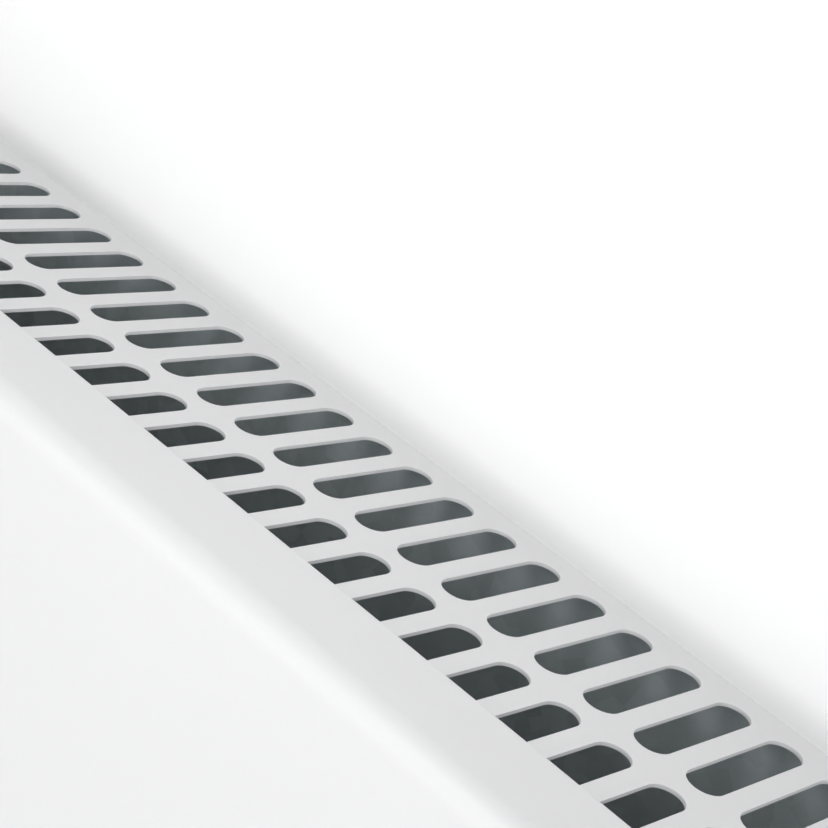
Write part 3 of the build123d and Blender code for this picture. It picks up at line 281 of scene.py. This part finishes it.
class Shade:
    """A socket in a material. Arithmetic and comparisons on it add Math nodes."""

    def __init__(self, tree, socket=None):
        self.tree = tree
        self.socket = socket

    def node(self, kind, sockets=None, settings=None, output=0):
        """Adds a node: its settings are set first, then its sockets get values or links."""
        made = self.tree.nodes.new(kind)
        for name, value in (settings or {}).items():
            if name == "stops":
                set_stops(made.color_ramp, value)
            else:
                setattr(made, name, value)
        for name, value in (sockets or {}).items():
            if isinstance(value, Shade):
                self.tree.links.new(value.socket, made.inputs[name])
            else:
                made.inputs[name].default_value = value
        return Shade(self.tree, made.outputs[output] if made.outputs else None)

    def output(self, name):
        """Another output of the same node."""
        return Shade(self.tree, self.socket.node.outputs[name])

    def into(self, shader, name):
        """Links the socket to one of the shader's own."""
        self.tree.links.new(self.socket, shader.inputs[name])

    def math(self, operation, first, second=0.0):
        """Adds a Math node."""
        return self.node("ShaderNodeMath", {0: first, 1: second}, {"operation": operation})

    def __add__(self, other):
        return self.math("ADD", self, other)

    __radd__ = __add__

    def __sub__(self, other):
        return self.math("SUBTRACT", self, other)

    def __rsub__(self, other):
        return self.math("SUBTRACT", other, self)

    def __mul__(self, other):
        return self.math("MULTIPLY", self, other)

    def __truediv__(self, other):
        return self.math("DIVIDE", self, other)

    def __pow__(self, other):
        return self.math("POWER", self, other)

    def __abs__(self):
        return self.math("ABSOLUTE", self)

    def __lt__(self, other):
        return self.math("LESS_THAN", self, other)

    def __gt__(self, other):
        return self.math("GREATER_THAN", self, other)

    def __and__(self, other):
        return self.math("MINIMUM", self, other)

    def __or__(self, other):
        return self.math("MAXIMUM", self, other)


def set_stops(ramp, stops):
    """Gives a ramp its stops, as (place, colour)."""
    while len(ramp.elements) < len(stops):
        ramp.elements.new(1.0)
    for element, (place, colour) in zip(ramp.elements, stops):
        element.position = place
        element.color = (*colour, 1.0)


def new_finish(name, **fixed):
    """A new material, its wrapped tree and its shader, with what is the same all over already set."""
    material = bpy.data.materials.new(name)
    material.use_nodes = True
    shader = material.node_tree.nodes["Principled BSDF"]
    for socket, value in fixed.items():
        shader.inputs[socket.replace("_", " ")].default_value = value
    return material, Shade(material.node_tree), shader


def point_on(base):
    """Object coordinates, which are also places in the frame."""
    return base.node("ShaderNodeTexCoord", output="Object")


def axes(point):
    """The three numbers of a place."""
    first = point.node("ShaderNodeSeparateXYZ", {0: point})
    return first, first.output("Y"), first.output("Z")


def noise(point, size, detail=2.0, stretch=(1.0, 1.0, 1.0)):
    """Noise from 0 to 1 whose lumps have that size, drawn out along an axis where stretch is small."""
    scale = tuple(factor / size for factor in stretch)
    spread = point.node("ShaderNodeMapping", {"Vector": point, "Scale": scale})
    return point.node("ShaderNodeTexNoise", {"Vector": spread, "Scale": 1.0, "Detail": detail})


def cells(point, size):
    """A random number for each crystal of that size."""
    colour = point.node("ShaderNodeTexVoronoi", {"Vector": point, "Scale": 1.0 / size}, output="Color")
    return point.node("ShaderNodeSeparateColor", {0: colour})


def tone(colour, factor):
    """A colour made darker or lighter."""
    return tuple(min(part * factor, 1.0) for part in colour)


def with_alpha(colour):
    """A written colour with its fourth number; a socket stays as it is."""
    return colour if isinstance(colour, Shade) else (*colour, 1.0)


def blend(factor, first, second):
    """A colour between two."""
    sockets = {MIX_FACTOR: factor, MIX_FIRST: with_alpha(first), MIX_SECOND: with_alpha(second)}
    return factor.node("ShaderNodeMix", sockets, {"data_type": "RGBA"}, MIX_RESULT)


def relief(height, depth, shader):
    """Raises the surface by height times depth."""
    height.node("ShaderNodeBump", {"Height": height, "Distance": depth}).into(shader, "Normal")


def inside_casing(point, sheet):
    """1 on the faces that look into the casing, 0 outside and on the cut edges."""
    x, y, z = axes(point)
    margin = CUT_EDGE * sheet
    wide = abs(x) < back_high.x - margin
    deep = abs(y - heater_middle.y) < (back_high.y - front_low.y) / 2 - margin
    return wide & deep & (z < grille_high.z - margin) & (z > floor_low.z + margin)


def powder_coat(name, paint, colour):
    """Satin powder coat with a faint orange peel, over sheet left zinc grey inside, where the zinc is
    painted lighter near the top as painted light against the shade there.
    """
    material, base, shader = new_finish(name, Coat_Roughness=0.3, Coat_Weight=0.15)
    point = point_on(base)
    cloud = noise(point, 0.15)
    speck = noise(point, 0.0009, detail=3.0)
    coat = blend(cloud * 0.6 + speck * 0.4, tone(colour, 0.975), tone(colour, 1.02))
    crystals = cells(point, 0.004) * 0.5 + noise(point, 0.012) * 0.5
    bare = blend(crystals, tone(paint.inside, 0.8), tone(paint.inside, 1.2))
    # Painted light: the zinc inside is painted up to twice as light towards the top of the casing, against
    # the shade that falls just under the grille
    painted_light_ramp = (axes(point)[2] - (grille_high.z - paint.painted_light_reach)) / paint.painted_light_reach
    zinc = blend(painted_light_ramp * 0.4, bare, tone(paint.inside, 2.0))
    inner = inside_casing(point, SHEET)
    blend(inner, coat, zinc).into(shader, "Base Color")
    (paint.gloss - 0.04 + speck * 0.08 + inner * 0.15).into(shader, "Roughness")
    relief(noise(point, paint.peel, detail=1.0), paint.peel_depth, shader)
    return material


def moulded(name, colour, roughness, depth=0.000006):
    """Moulded plastic with the fine spark texture of its mould."""
    material, base, shader = new_finish(name)
    point = point_on(base)
    spark = noise(point, 0.0004, detail=3.0)
    flow = noise(point, 0.03)
    blend(flow * 0.7 + spark * 0.3, tone(colour, 0.95), tone(colour, 1.04)).into(shader, "Base Color")
    (roughness - 0.05 + spark * 0.1).into(shader, "Roughness")
    relief(spark, depth, shader)
    return material


def galvanised(name, colour=(0.62, 0.64, 0.66)):
    """Hot-dipped sheet with its flat crystals."""
    material, base, shader = new_finish(name, Metallic=1.0)
    point = point_on(base)
    flake = cells(point, 0.007)
    smear = noise(point, 0.02, detail=4.0)
    blend(flake * 0.6 + smear * 0.4, tone(colour, 0.72), tone(colour, 1.15)).into(shader, "Base Color")
    (0.3 + flake * 0.18 + smear * 0.08).into(shader, "Roughness")
    relief(flake * 0.4 + smear * 0.6, 0.00001, shader)
    return material


def plated(name, colour, roughness=0.28):
    """Plated or bare metal with faint stains and fine scratches."""
    material, base, shader = new_finish(name, Metallic=1.0)
    point = point_on(base)
    stain = noise(point, 0.004, detail=3.0)
    scratch = noise(point, 0.0004, detail=2.0, stretch=(1.0, 0.15, 1.0))
    blend(stain * 0.7 + scratch * 0.3, tone(colour, 0.75), tone(colour, 1.12)).into(shader, "Base Color")
    (roughness + stain * 0.15).into(shader, "Roughness")
    relief(scratch, 0.000002, shader)
    return material


def extruded_aluminium(name):
    """Aluminium with the die's lines along its length."""
    material, base, shader = new_finish(name, Metallic=1.0)
    point = point_on(base)
    lines = noise(point, 0.0006, detail=3.0, stretch=(0.004, 1.0, 1.0))
    haze = noise(point, 0.05)
    blend(lines * 0.5 + haze * 0.5, (0.6, 0.61, 0.62), (0.86, 0.87, 0.88)).into(shader, "Base Color")
    (0.3 + lines * 0.2).into(shader, "Roughness")
    relief(lines, 0.00001, shader)
    return material


def heated_steel(name):
    """Sheath steel that heat has turned straw, brown and blue towards its middle."""
    material, base, shader = new_finish(name, Metallic=1.0)
    point = point_on(base)
    x = axes(point)[0]
    reach = abs(x - rod_centre.x) / ((rod_high.x - rod_low.x) / 2)
    wander = reach + (noise(point, 0.02) - 0.5) * 0.06
    stops = [
        (0.0, (0.13, 0.12, 0.12)),
        (0.90, (0.16, 0.13, 0.13)),
        (0.935, (0.12, 0.14, 0.24)),
        (0.955, (0.3, 0.17, 0.14)),
        (0.975, (0.48, 0.36, 0.2)),
        (1.0, (0.56, 0.55, 0.53)),
    ]
    wander.node("ShaderNodeValToRGB", {0: wander}, {"stops": stops}).into(shader, "Base Color")
    (0.38 + noise(point, 0.002) * 0.14).into(shader, "Roughness")
    return material


def ceramic(name):
    """Glazed steatite beads with a few dark specks."""
    material, base, shader = new_finish(name)
    point = point_on(base)
    specks = noise(point, 0.0006, detail=2.0) > 0.68
    body = blend(noise(point, 0.005), (0.74, 0.71, 0.64), (0.82, 0.79, 0.72))
    blend(specks * 0.6, body, (0.35, 0.28, 0.2)).into(shader, "Base Color")
    (0.3 + noise(point, 0.003) * 0.15).into(shader, "Roughness")
    return material


def rubber(name, colour):
    """Dull rubber with a dusty bloom."""
    material, base, shader = new_finish(name)
    point = point_on(base)
    bloom = noise(point, 0.006, detail=4.0)
    pits = noise(point, 0.0003, detail=2.0)
    blend(bloom, tone(colour, 0.8), tone(colour, 1.6)).into(shader, "Base Color")
    (0.72 + bloom * 0.15).into(shader, "Roughness")
    relief(pits, 0.000012, shader)
    return material


def insulation(name, colour):
    """Silicone lead insulation, with talc left on it."""
    material, base, shader = new_finish(name)
    point = point_on(base)
    talc = noise(point, 0.004, detail=3.0)
    blend(talc, tone(colour, 0.85), tone(colour, 1.15)).into(shader, "Base Color")
    (0.45 + talc * 0.2).into(shader, "Roughness")
    relief(noise(point, 0.0008), 0.000008, shader)
    return material


def earth_insulation(name):
    """Insulation with a yellow stripe along a green lead."""
    material, base, shader = new_finish(name)
    point = point_on(base)
    normal = base.node("ShaderNodeNewGeometry", output="Normal")
    stripe = axes(normal)[0] > 0.1
    talc = noise(point, 0.004, detail=3.0)
    green = blend(talc, (0.02, 0.2, 0.05), (0.04, 0.3, 0.08))
    blend(stripe, green, (0.8, 0.62, 0.04)).into(shader, "Base Color")
    (0.45 + talc * 0.2).into(shader, "Roughness")
    return material


def turned_knob(name, colour):
    """Knob moulding with fine rings on its end."""
    material, base, shader = new_finish(name)
    point = point_on(base)
    x, y, z = axes(point)
    out = ((y - knob_centre.y) ** 2.0 + (z - knob_centre.z) ** 2.0) ** 0.5
    ring_pitch, end_depth = 0.0007, 0.0012
    turn = out * (2 * math.pi / ring_pitch)
    rings = turn.math("SINE", turn)
    end = x > knob_high.x - end_depth
    spark = noise(point, 0.0004, detail=3.0)
    body = blend(noise(point, 0.02) * 0.6 + spark * 0.4, tone(colour, 0.95), tone(colour, 1.04))
    body.into(shader, "Base Color")
    (0.36 + spark * 0.1).into(shader, "Roughness")
    relief(rings * end * 0.3 + spark * 0.7, 0.000008, shader)
    return material


def amber_lens(name):
    """Clear amber plastic over an unlit lamp."""
    material, base, shader = new_finish(name, Transmission_Weight=0.35, IOR=1.49)
    point = point_on(base)
    depth = noise(point, 0.002)
    blend(depth, (0.75, 0.24, 0.02), (0.92, 0.36, 0.04)).into(shader, "Base Color")
    (0.12 + depth * 0.06).into(shader, "Roughness")
    return material


def printed_ink(name, colour):
    """Pad-printed ink, a little uneven."""
    material, base, shader = new_finish(name)
    point = point_on(base)
    cover = noise(point, 0.0003, detail=3.0)
    blend(cover, tone(colour, 0.8), tone(colour, 1.3)).into(shader, "Base Color")
    (0.5 + cover * 0.1).into(shader, "Roughness")
    return material


def mesh_of(shape, name):
    """Ends a bmesh as a mesh and an object at the origin."""
    mesh = bpy.data.meshes.new(name)
    shape.to_mesh(mesh)
    shape.free()
    # The normals that come with the CAD mesh don't fit the rounded one
    if "custom_normal" in mesh.attributes:
        mesh.attributes.remove(mesh.attributes["custom_normal"])
    piece = bpy.data.objects.new(name, mesh)
    bpy.context.scene.collection.objects.link(piece)
    return piece


def softened(source, radius):
    """A copy of a CAD node whose sharp edges are rounded."""
    shape = bmesh.new()
    shape.from_mesh(source.data)
    bmesh.ops.remove_doubles(shape, verts=shape.verts, dist=MERGE)
    bmesh.ops.dissolve_limit(shape, angle_limit=FLAT, verts=shape.verts, edges=shape.edges)
    sharp = [edge for edge in shape.edges if edge.calc_face_angle(0.0) > SHARP]
    bmesh.ops.bevel(
        shape, geom=sharp, offset=radius, offset_type="OFFSET", segments=2, profile=0.5,
        affect="EDGES", clamp_overlap=True, material=-1,
    )
    for face in shape.faces:
        face.smooth = True
    piece = mesh_of(shape, source.name + "_soft_edged")
    normals = piece.modifiers.new("Flat faces stay flat", "WEIGHTED_NORMAL")
    normals.weight = 100
    normals.keep_sharp = True
    return piece


def dress(nodes, material, radius=0.0):
    """Gives CAD nodes a finish, and soft edges where a radius is given; returns the new pieces."""
    pieces = []
    for node in nodes:
        source = frame["nodes"][node]
        if radius == 0.0:
            source.material_slots[0].material = material
            continue
        piece = softened(source, radius)
        piece.data.materials.clear()
        piece.data.materials.append(material)
        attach(piece, source["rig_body"])
        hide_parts(node)
        pieces.append(piece)
    return pieces


def close_up(spring, joint):
    """Works out how far a spring would shorten towards its seat as its catch is pressed, and gives the
    spring its own mesh; the spring itself is not shortened.
    """
    row = joint["deforming_nodes"][0]
    low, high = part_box(row["node"])
    seat = Vector((low.x, low.y, row["fixed_end_z_m"]))
    keep = 1 - joint["range_m"][1] / (high.z - seat.z)
    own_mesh(spring)


class HEATER_OT_casing(bpy.types.Operator):
    """Coats the folded sheets of the casing"""

    bl_idname = "heater.casing"
    bl_label = "Casing sheets"

    def execute(self, context):
        paint, edges = context.scene.heater_paint, context.scene.heater_edges
        coat = powder_coat("satin_white_coat", paint, paint.white)
        dress(("front_panel", "top_grille", "bottom_grille"), coat, edges.sheet)
        back_coat = powder_coat("back_coat", paint, tone(paint.white, 0.96))
        dress(("back_panel",), back_coat, edges.sheet)
        return {"FINISHED"}


class HEATER_OT_ends(bpy.types.Operator):
    """Finishes the moulded ends"""

    bl_idname = "heater.ends"
    bl_label = "End mouldings"

    def execute(self, context):
        paint, edges = context.scene.heater_paint, context.scene.heater_edges
        plastic = moulded("white_moulding_plastic", paint.moulding, 0.46)
        dress(("end_cap_left", "end_cap_right"), plastic, edges.moulding)
        return {"FINISHED"}


class HEATER_OT_inner_sheets(bpy.types.Operator):
    """Finishes the heat shield, the partition and the brackets inside"""

    bl_idname = "heater.inner_sheets"
    bl_label = "Inner sheets"

    def execute(self, context):
        zinc = galvanised("galvanised_sheet_zinc")
        dress(("heat_shield", "partition_plate", "cutout_bracket"), zinc)
        dress(("element_bracket_left", "element_bracket_right"), zinc)
        dress(("partition_grommets",), rubber("grommet_rubber", (0.03, 0.03, 0.032)))
        return {"FINISHED"}


class HEATER_OT_element(bpy.types.Operator):
    """Finishes the heating element and its cut-out"""

    bl_idname = "heater.element"
    bl_label = "Heating element"

    def execute(self, context):
        dress(("element_profile",), extruded_aluminium("extruded_fins"))
        dress(("element_rod",), heated_steel("heated_sheath"))
        dress(("element_pins",), plated("pin_steel", (0.55, 0.54, 0.52)))
        dress(("element_insulators", "element_bushes"), ceramic("steatite"))
        dress(("thermal_cutout",), moulded("cutout_phenolic", (0.03, 0.025, 0.022), 0.5))
        return {"FINISHED"}


class HEATER_OT_controls(bpy.types.Operator):
    """Finishes the bezel, the knob and the thermostat"""

    bl_idname = "heater.controls"
    bl_label = "Thermostat and knob"

    def execute(self, context):
        edges = context.scene.heater_edges
        dress(("control_bezel",), moulded("bezel_plastic", (0.42, 0.43, 0.44), 0.42), edges.metal)
        dress(("thermostat_knob",), turned_knob("knob_plastic", (0.78, 0.78, 0.775)), edges.metal)
        dress(("thermostat_body",), moulded("thermostat_phenolic", (0.03, 0.028, 0.026), 0.5), edges.metal)
        dress(("thermostat_shaft",), plated("shaft_steel_bright", (0.6, 0.6, 0.58)))
        dress(("sensor_capillary", "sensor_bulb"), plated("sensor_copper", (0.83, 0.42, 0.26), 0.3))
        dress(("sensor_clips",), moulded("clip_nylon", (0.72, 0.7, 0.64), 0.4))
        return {"FINISHED"}


class HEATER_OT_switch(bpy.types.Operator):
    """Finishes the mains switch and the indicator"""

    bl_idname = "heater.switch"
    bl_label = "Switch and indicator"

    def execute(self, context):
        edges = context.scene.heater_edges
        black = moulded("switch_black", (0.022, 0.022, 0.024), 0.4)
        dress(("switch_body",), black, edges.metal)
        glossy = moulded("rocker_gloss", (0.028, 0.028, 0.03), 0.22, depth=0.000002)
        dress(("switch_rocker",), glossy, edges.metal)
        dress(("indicator_body",), plated("indicator_chrome", (0.72, 0.73, 0.74), 0.12))
        dress(("indicator_lens",), amber_lens("indicator_amber_plastic"))
        return {"FINISHED"}


class HEATER_OT_mains(bpy.types.Operator):
    """Finishes the inlet, the terminals and the leads"""

    bl_idname = "heater.mains"
    bl_label = "Inlet, terminals and leads"

    def execute(self, context):
        edges = context.scene.heater_edges
        dress(("cable_gland", "gland_nut"), moulded("gland_nylon", (0.025, 0.025, 0.027), 0.48))
        dress(("terminal_block",), moulded("terminal_nylon", (0.74, 0.73, 0.69), 0.4), edges.metal)
        brass = plated("brass", (0.78, 0.58, 0.28), 0.3)
        dress(("terminal_screws", "earth_stud", "earth_nut", "earth_lug"), brass)
        brown = insulation("brown_silicone", (0.16, 0.06, 0.025))
        dress(("live_lead", "switch_lead", "control_lead"), brown)
        dress(("element_lead",), insulation("white_silicone", (0.7, 0.69, 0.66)))
        dress(("neutral_lead",), insulation("blue_silicone", (0.03, 0.11, 0.4)))
        dress(("earth_lead",), earth_insulation("earth_silicone"))
        dress(("lamp_leads",), insulation("thin_silicone", (0.3, 0.3, 0.3)))
        return {"FINISHED"}


class HEATER_OT_bracket(bpy.types.Operator):
    """Finishes the wall bracket, its catches and springs, and the spacers"""

    bl_idname = "heater.bracket"
    bl_label = "Wall bracket"

    def execute(self, context):
        edges = context.scene.heater_edges
        zinc = galvanised("bracket_zinc", (0.58, 0.6, 0.62))
        dress(("bracket_rail_left", "bracket_rail_right"), zinc, edges.metal)
        dress(("bracket_crossbar_upper", "bracket_crossbar_lower"), zinc, edges.metal)
        dress(("latch_left", "latch_right"), moulded("catch_nylon", (0.05, 0.052, 0.056), 0.46), edges.metal)
        press_joints = [joint for joint in frame["joints"] if "deforming_nodes" in joint]
        spring_nodes = [joint["deforming_nodes"][0]["node"] for joint in press_joints]
        springs = dress(spring_nodes, plated("spring_wire", (0.5, 0.5, 0.49), 0.25), edges.metal)
        for spring, joint in zip(springs, press_joints):
            close_up(spring, joint)
        dress(("wall_spacers",), rubber("spacer_rubber_grey", (0.09, 0.09, 0.095)), edges.metal)
        return {"FINISHED"}


class HEATER_OT_screws(bpy.types.Operator):
    """Finishes the screws"""

    bl_idname = "heater.screws"
    bl_label = "Screws"

    def execute(self, context):
        paint = context.scene.heater_paint
        zinc = plated("screw_zinc", (0.66, 0.67, 0.68), 0.26)
        dress(("back_panel_screws", "front_panel_screws", "thermostat_screws"), zinc)
        dress(("end_cap_screws",), moulded("screw_white", tone(paint.white, 0.97), 0.36))
        return {"FINISHED"}


def outline_mesh(body, size, weight):
    """The flat shape of a few characters, centred on the origin."""
    words = bpy.data.curves.new("mark", "FONT")
    words.body = body
    words.size = size
    words.offset = weight
    words.align_x = "CENTER"
    words.align_y = "CENTER"
    holder = bpy.data.objects.new("mark", words)
    mesh = bpy.data.meshes.new_from_object(holder)
    bpy.data.objects.remove(holder)
    return mesh


def lay_on(shape, node, ink):
    """Drops a flat shape along -X on a CAD node and gives it the ink's thickness."""
    carrier = bmesh.new()
    carrier.from_mesh(frame["nodes"][node].data)
    surface = BVHTree.FromBMesh(carrier)
    for vert in shape.verts:
        hit = surface.ray_cast(vert.co, Vector((-1, 0, 0)))[0]
        if hit is None:
            raise RuntimeError(f"a printed mark misses {node}")
        vert.co = hit
    carrier.free()
    made = bmesh.ops.extrude_face_region(shape, geom=shape.faces[:])
    raised = [item for item in made["geom"] if isinstance(item, bmesh.types.BMVert)]
    bmesh.ops.translate(shape, verts=raised, vec=(ink, 0, 0))
    bmesh.ops.recalc_face_normals(shape, faces=shape.faces)


def facing_end(place):
    """Turns a flat shape so that it reads from the control end, and moves it to a place."""
    turn = Matrix(((0, 0, 1), (1, 0, 0), (0, 1, 0))).to_4x4()
    return Matrix.Translation(place) @ turn


class HEATER_OT_dial_marks(bpy.types.Operator):
    """Prints the numbers and dots round the knob"""

    bl_idname = "heater.dial_marks"
    bl_label = "Dial marks"

    def execute(self, context):
        marks = context.scene.heater_marks
        shape = bmesh.new()
        start_x = knob_high.x
        for half_step in range(2 * marks.steps + 1):
            angle = marks.sweep * half_step / (2 * marks.steps)
            across, up = math.sin(angle) * marks.circle, math.cos(angle) * marks.circle
            place = facing_end(Vector((start_x, knob_centre.y + across, knob_centre.z + up)))
            if half_step % 2:
                bmesh.ops.create_circle(
                    shape, cap_ends=True, segments=DOT_SIDES, radius=marks.dot, matrix=place
                )
                continue
            weight = marks.number_size / SIZE_PER_WEIGHT
            mesh = outline_mesh(str(half_step // 2), marks.number_size, weight)
            mesh.transform(place)
            shape.from_mesh(mesh)
            bpy.data.meshes.remove(mesh)
        lay_on(shape, "control_bezel", marks.ink)
        piece = mesh_of(shape, "dial_marks")
        piece.data.materials.append(printed_ink("dark_ink", (0.03, 0.03, 0.032)))
        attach(piece, "heater")
        return {"FINISHED"}


class HEATER_OT_switch_marks(bpy.types.Operator):
    """Prints the on and off marks on the rocker"""

    bl_idname = "heater.switch_marks"
    bl_label = "Switch marks"

    def execute(self, context):
        marks = context.scene.heater_marks
        shape = bmesh.new()
        high = (rocker_high.z - rocker_low.z) / 4
        for body, up in (("I", high), ("O", -high)):
            mesh = outline_mesh(body, marks.switch_mark, weight=0.0)
            mesh.transform(facing_end(Vector((knob_high.x, rocker_centre.y, rocker_centre.z + up))))
            shape.from_mesh(mesh)
            bpy.data.meshes.remove(mesh)
        lay_on(shape, "switch_rocker", marks.ink)
        piece = mesh_of(shape, "rocker_marks")
        piece.data.materials.append(printed_ink("white_ink", (0.8, 0.8, 0.8)))
        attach(piece, "rocker")
        return {"FINISHED"}


def stage_plane(name, half, matrix):
    """A large square sheet, facing along the matrix's Z axis."""
    shape = bmesh.new()
    bmesh.ops.create_grid(shape, x_segments=1, y_segments=1, size=half, matrix=matrix)
    return mesh_of(shape, name)


def seen_ray(path):
    """1 for the rays that show the background: the camera's, and those that metal and glass send on."""
    return path | path.output("Is Glossy Ray") | path.output("Is Transmission Ray")


def one_sided(name, colour, glow, hidden):
    """Matt paint that only shows from the front; glow is for the rays that show the background.

    Where hidden is 1, all but the camera's rays go through.
    """
    material = bpy.data.materials.new(name)
    material.use_nodes = True
    tree = material.node_tree
    tree.nodes.clear()
    base = Shade(tree)
    path = base.node("ShaderNodeLightPath", output="Is Camera Ray")
    seen = seen_ray(path)
    matt = base.node("ShaderNodeBsdfDiffuse", {"Color": with_alpha(colour)})
    light = base.node("ShaderNodeEmission", {"Color": with_alpha(WHITE), "Strength": glow})
    lit = base.node("ShaderNodeAddShader", {0: matt, 1: light})
    front = base.node("ShaderNodeMixShader", {0: seen, 1: matt, 2: lit})
    clear = base.node("ShaderNodeBsdfTransparent")
    behind = base.node("ShaderNodeNewGeometry", output="Backfacing")
    open_place = behind | (hidden(base) & (1 - path))
    whole = base.node("ShaderNodeMixShader", {0: open_place, 1: front, 2: clear})
    base.node("ShaderNodeOutputMaterial", {"Surface": whole})
    return material


class HEATER_OT_stage(bpy.types.Operator):
    """Sets up the wall, the floor, the lamps and the camera"""

    bl_idname = "heater.stage"
    bl_label = "Studio"

    def execute(self, context):
        studio = context.scene.heater_studio
        self.add_wall(studio)
        self.add_floor(studio)
        self.add_lamps(studio)
        self.add_room(context, studio)
        self.add_camera(context, studio)
        context.scene.view_settings.view_transform = "Standard"
        return {"FINISHED"}

    def add_wall(self, studio):
        """Stands the wall behind the bracket, open to lamp light within the casing's outline."""
        upright = Matrix.Rotation(math.radians(90), 4, "X")
        behind = Matrix.Translation((0, cad_box[1].y + WALL_CLEARANCE, 0))
        wall = stage_plane("wall", studio.wall_half, behind @ upright)
        half_x = back_high.x - studio.wall_window
        half_z = (back_high.z - back_low.z) / 2 - studio.wall_window

        def window(base):
            """1 inside the outline of the casing, less the inset."""
            x, _, z = axes(point_on(base))
            return (abs(x) < half_x) & (abs(z) < half_z)

        wall.data.materials.append(one_sided("wall_paint", WALL_COLOUR, studio.wall_glow, window))

    def add_floor(self, studio):
        """Lays the floor, which lets the light of lamps below it through."""
        below = Matrix.Translation((0, 0, cad_box[0].z - studio.floor_drop))
        floor = stage_plane("floor", studio.wall_half, below)

        def lamp_light(base):
            """1 for rays on their way to a lamp."""
            return base.node("ShaderNodeLightPath", output="Is Shadow Ray")

        floor.data.materials.append(one_sided("floor_paint", FLOOR_COLOUR, studio.wall_glow, lamp_light))

    def add_lamps(self, studio):
        """Hangs the sun lamps round the heater and the softbox over its grille."""
        for name, place in SUNS.items():
            sun = bpy.data.lights.new(name, "SUN")
            sun.energy = getattr(studio, name)
            sun.angle = math.radians(place["spread"])
            lamp = bpy.data.objects.new(name, sun)
            lamp.visible_glossy = place["mirrored"]
            self.aim(lamp, Vector(), place["azimuth"], place["elevation"], distance=0.0)
        panel = bpy.data.lights.new("softbox", "AREA")
        panel.shape = "DISK"
        panel.size = studio.box_size
        panel.energy = studio.box
        softbox = bpy.data.objects.new("softbox", panel)
        softbox.visible_camera = False
        grille_middle = Vector((0, heater_middle.y, grille_high.z))
        self.aim(softbox, grille_middle, 0.0, SOFTBOX_ELEVATION, studio.box_distance)

    def aim(self, lamp, target, azimuth, elevation, distance):
        """Puts a lamp at a distance from its target, in that direction, and turns it there."""
        turn, rise = math.radians(azimuth), math.radians(elevation)
        level = math.cos(rise)
        away = Vector((math.sin(turn) * level, -math.cos(turn) * level, math.sin(rise)))
        lamp.location = target + away * distance
        lamp.rotation_euler = away.to_track_quat("Z", "Y").to_euler()
        bpy.context.scene.collection.objects.link(lamp)

    def add_room(self, context, studio):
        """Lights from all round, in front of a white background."""
        world = bpy.data.worlds.new("room")
        world.use_nodes = True
        tree = world.node_tree
        tree.nodes.clear()
        base = Shade(tree)
        path = base.node("ShaderNodeLightPath", output="Is Camera Ray")
        room = {"Strength": studio.room, "Color": with_alpha(ROOM_COLOUR)}
        light = base.node("ShaderNodeBackground", room)
        background = {"Strength": BACKGROUND, "Color": with_alpha(WHITE)}
        white = base.node("ShaderNodeBackground", background)
        whole = base.node("ShaderNodeMixShader", {0: seen_ray(path), 1: light, 2: white})
        base.node("ShaderNodeOutputWorld", {"Surface": whole})
        context.scene.world = world

    def add_camera(self, context, studio):
        """Stands the camera where the photograph was taken from."""
        lens = bpy.data.cameras.new("camera")
        lens.lens = studio.lens
        lens.sensor_width = studio.sensor
        lens.clip_start = NEAREST_SEEN
        camera = bpy.data.objects.new("camera", lens)
        camera.location = studio.camera_place
        camera.rotation_euler = Euler(studio.camera_turn)
        context.scene.collection.objects.link(camera)
        context.scene.camera = camera


class HEATER_PT_panel(bpy.types.Panel):
    """The heater's steps and sizes"""

    bl_idname = "HEATER_PT_panel"
    bl_label = "Panel Heater"
    bl_space_type = "VIEW_3D"
    bl_region_type = "UI"
    bl_category = "Heater"

    def draw(self, context):
        for step in steps:
            self.layout.operator(step.bl_idname)
        for group_name in property_groups:
            box = self.layout.box()
            group = getattr(context.scene, group_name)
            for name in group.__annotations__:
                box.prop(group, name)


steps = (
    HEATER_OT_stage,
    HEATER_OT_casing,
    HEATER_OT_ends,
    HEATER_OT_inner_sheets,
    HEATER_OT_element,
    HEATER_OT_controls,
    HEATER_OT_switch,
    HEATER_OT_mains,
    HEATER_OT_bracket,
    HEATER_OT_screws,
    HEATER_OT_dial_marks,
    HEATER_OT_switch_marks,
)
property_groups = {
    "heater_paint": HeaterPaint,
    "heater_edges": HeaterEdges,
    "heater_marks": HeaterMarks,
    "heater_studio": HeaterStudio,
}


def register():
    """Adds the property groups, the operators and the panel."""
    for name, group in property_groups.items():
        bpy.utils.register_class(group)
        setattr(bpy.types.Scene, name, bpy.props.PointerProperty(type=group))
    for step in steps:
        bpy.utils.register_class(step)
    bpy.utils.register_class(HEATER_PT_panel)


def unregister():
    """Takes out what register added."""
    bpy.utils.unregister_class(HEATER_PT_panel)
    for step in reversed(steps):
        bpy.utils.unregister_class(step)
    for name, group in property_groups.items():
        delattr(bpy.types.Scene, name)
        bpy.utils.unregister_class(group)


def main():
    """Runs every step in order."""
    register()
    for step in steps:
        family, action = step.bl_idname.split(".")
        getattr(getattr(bpy.ops, family), action)()


if __name__ == "__main__":
    main()
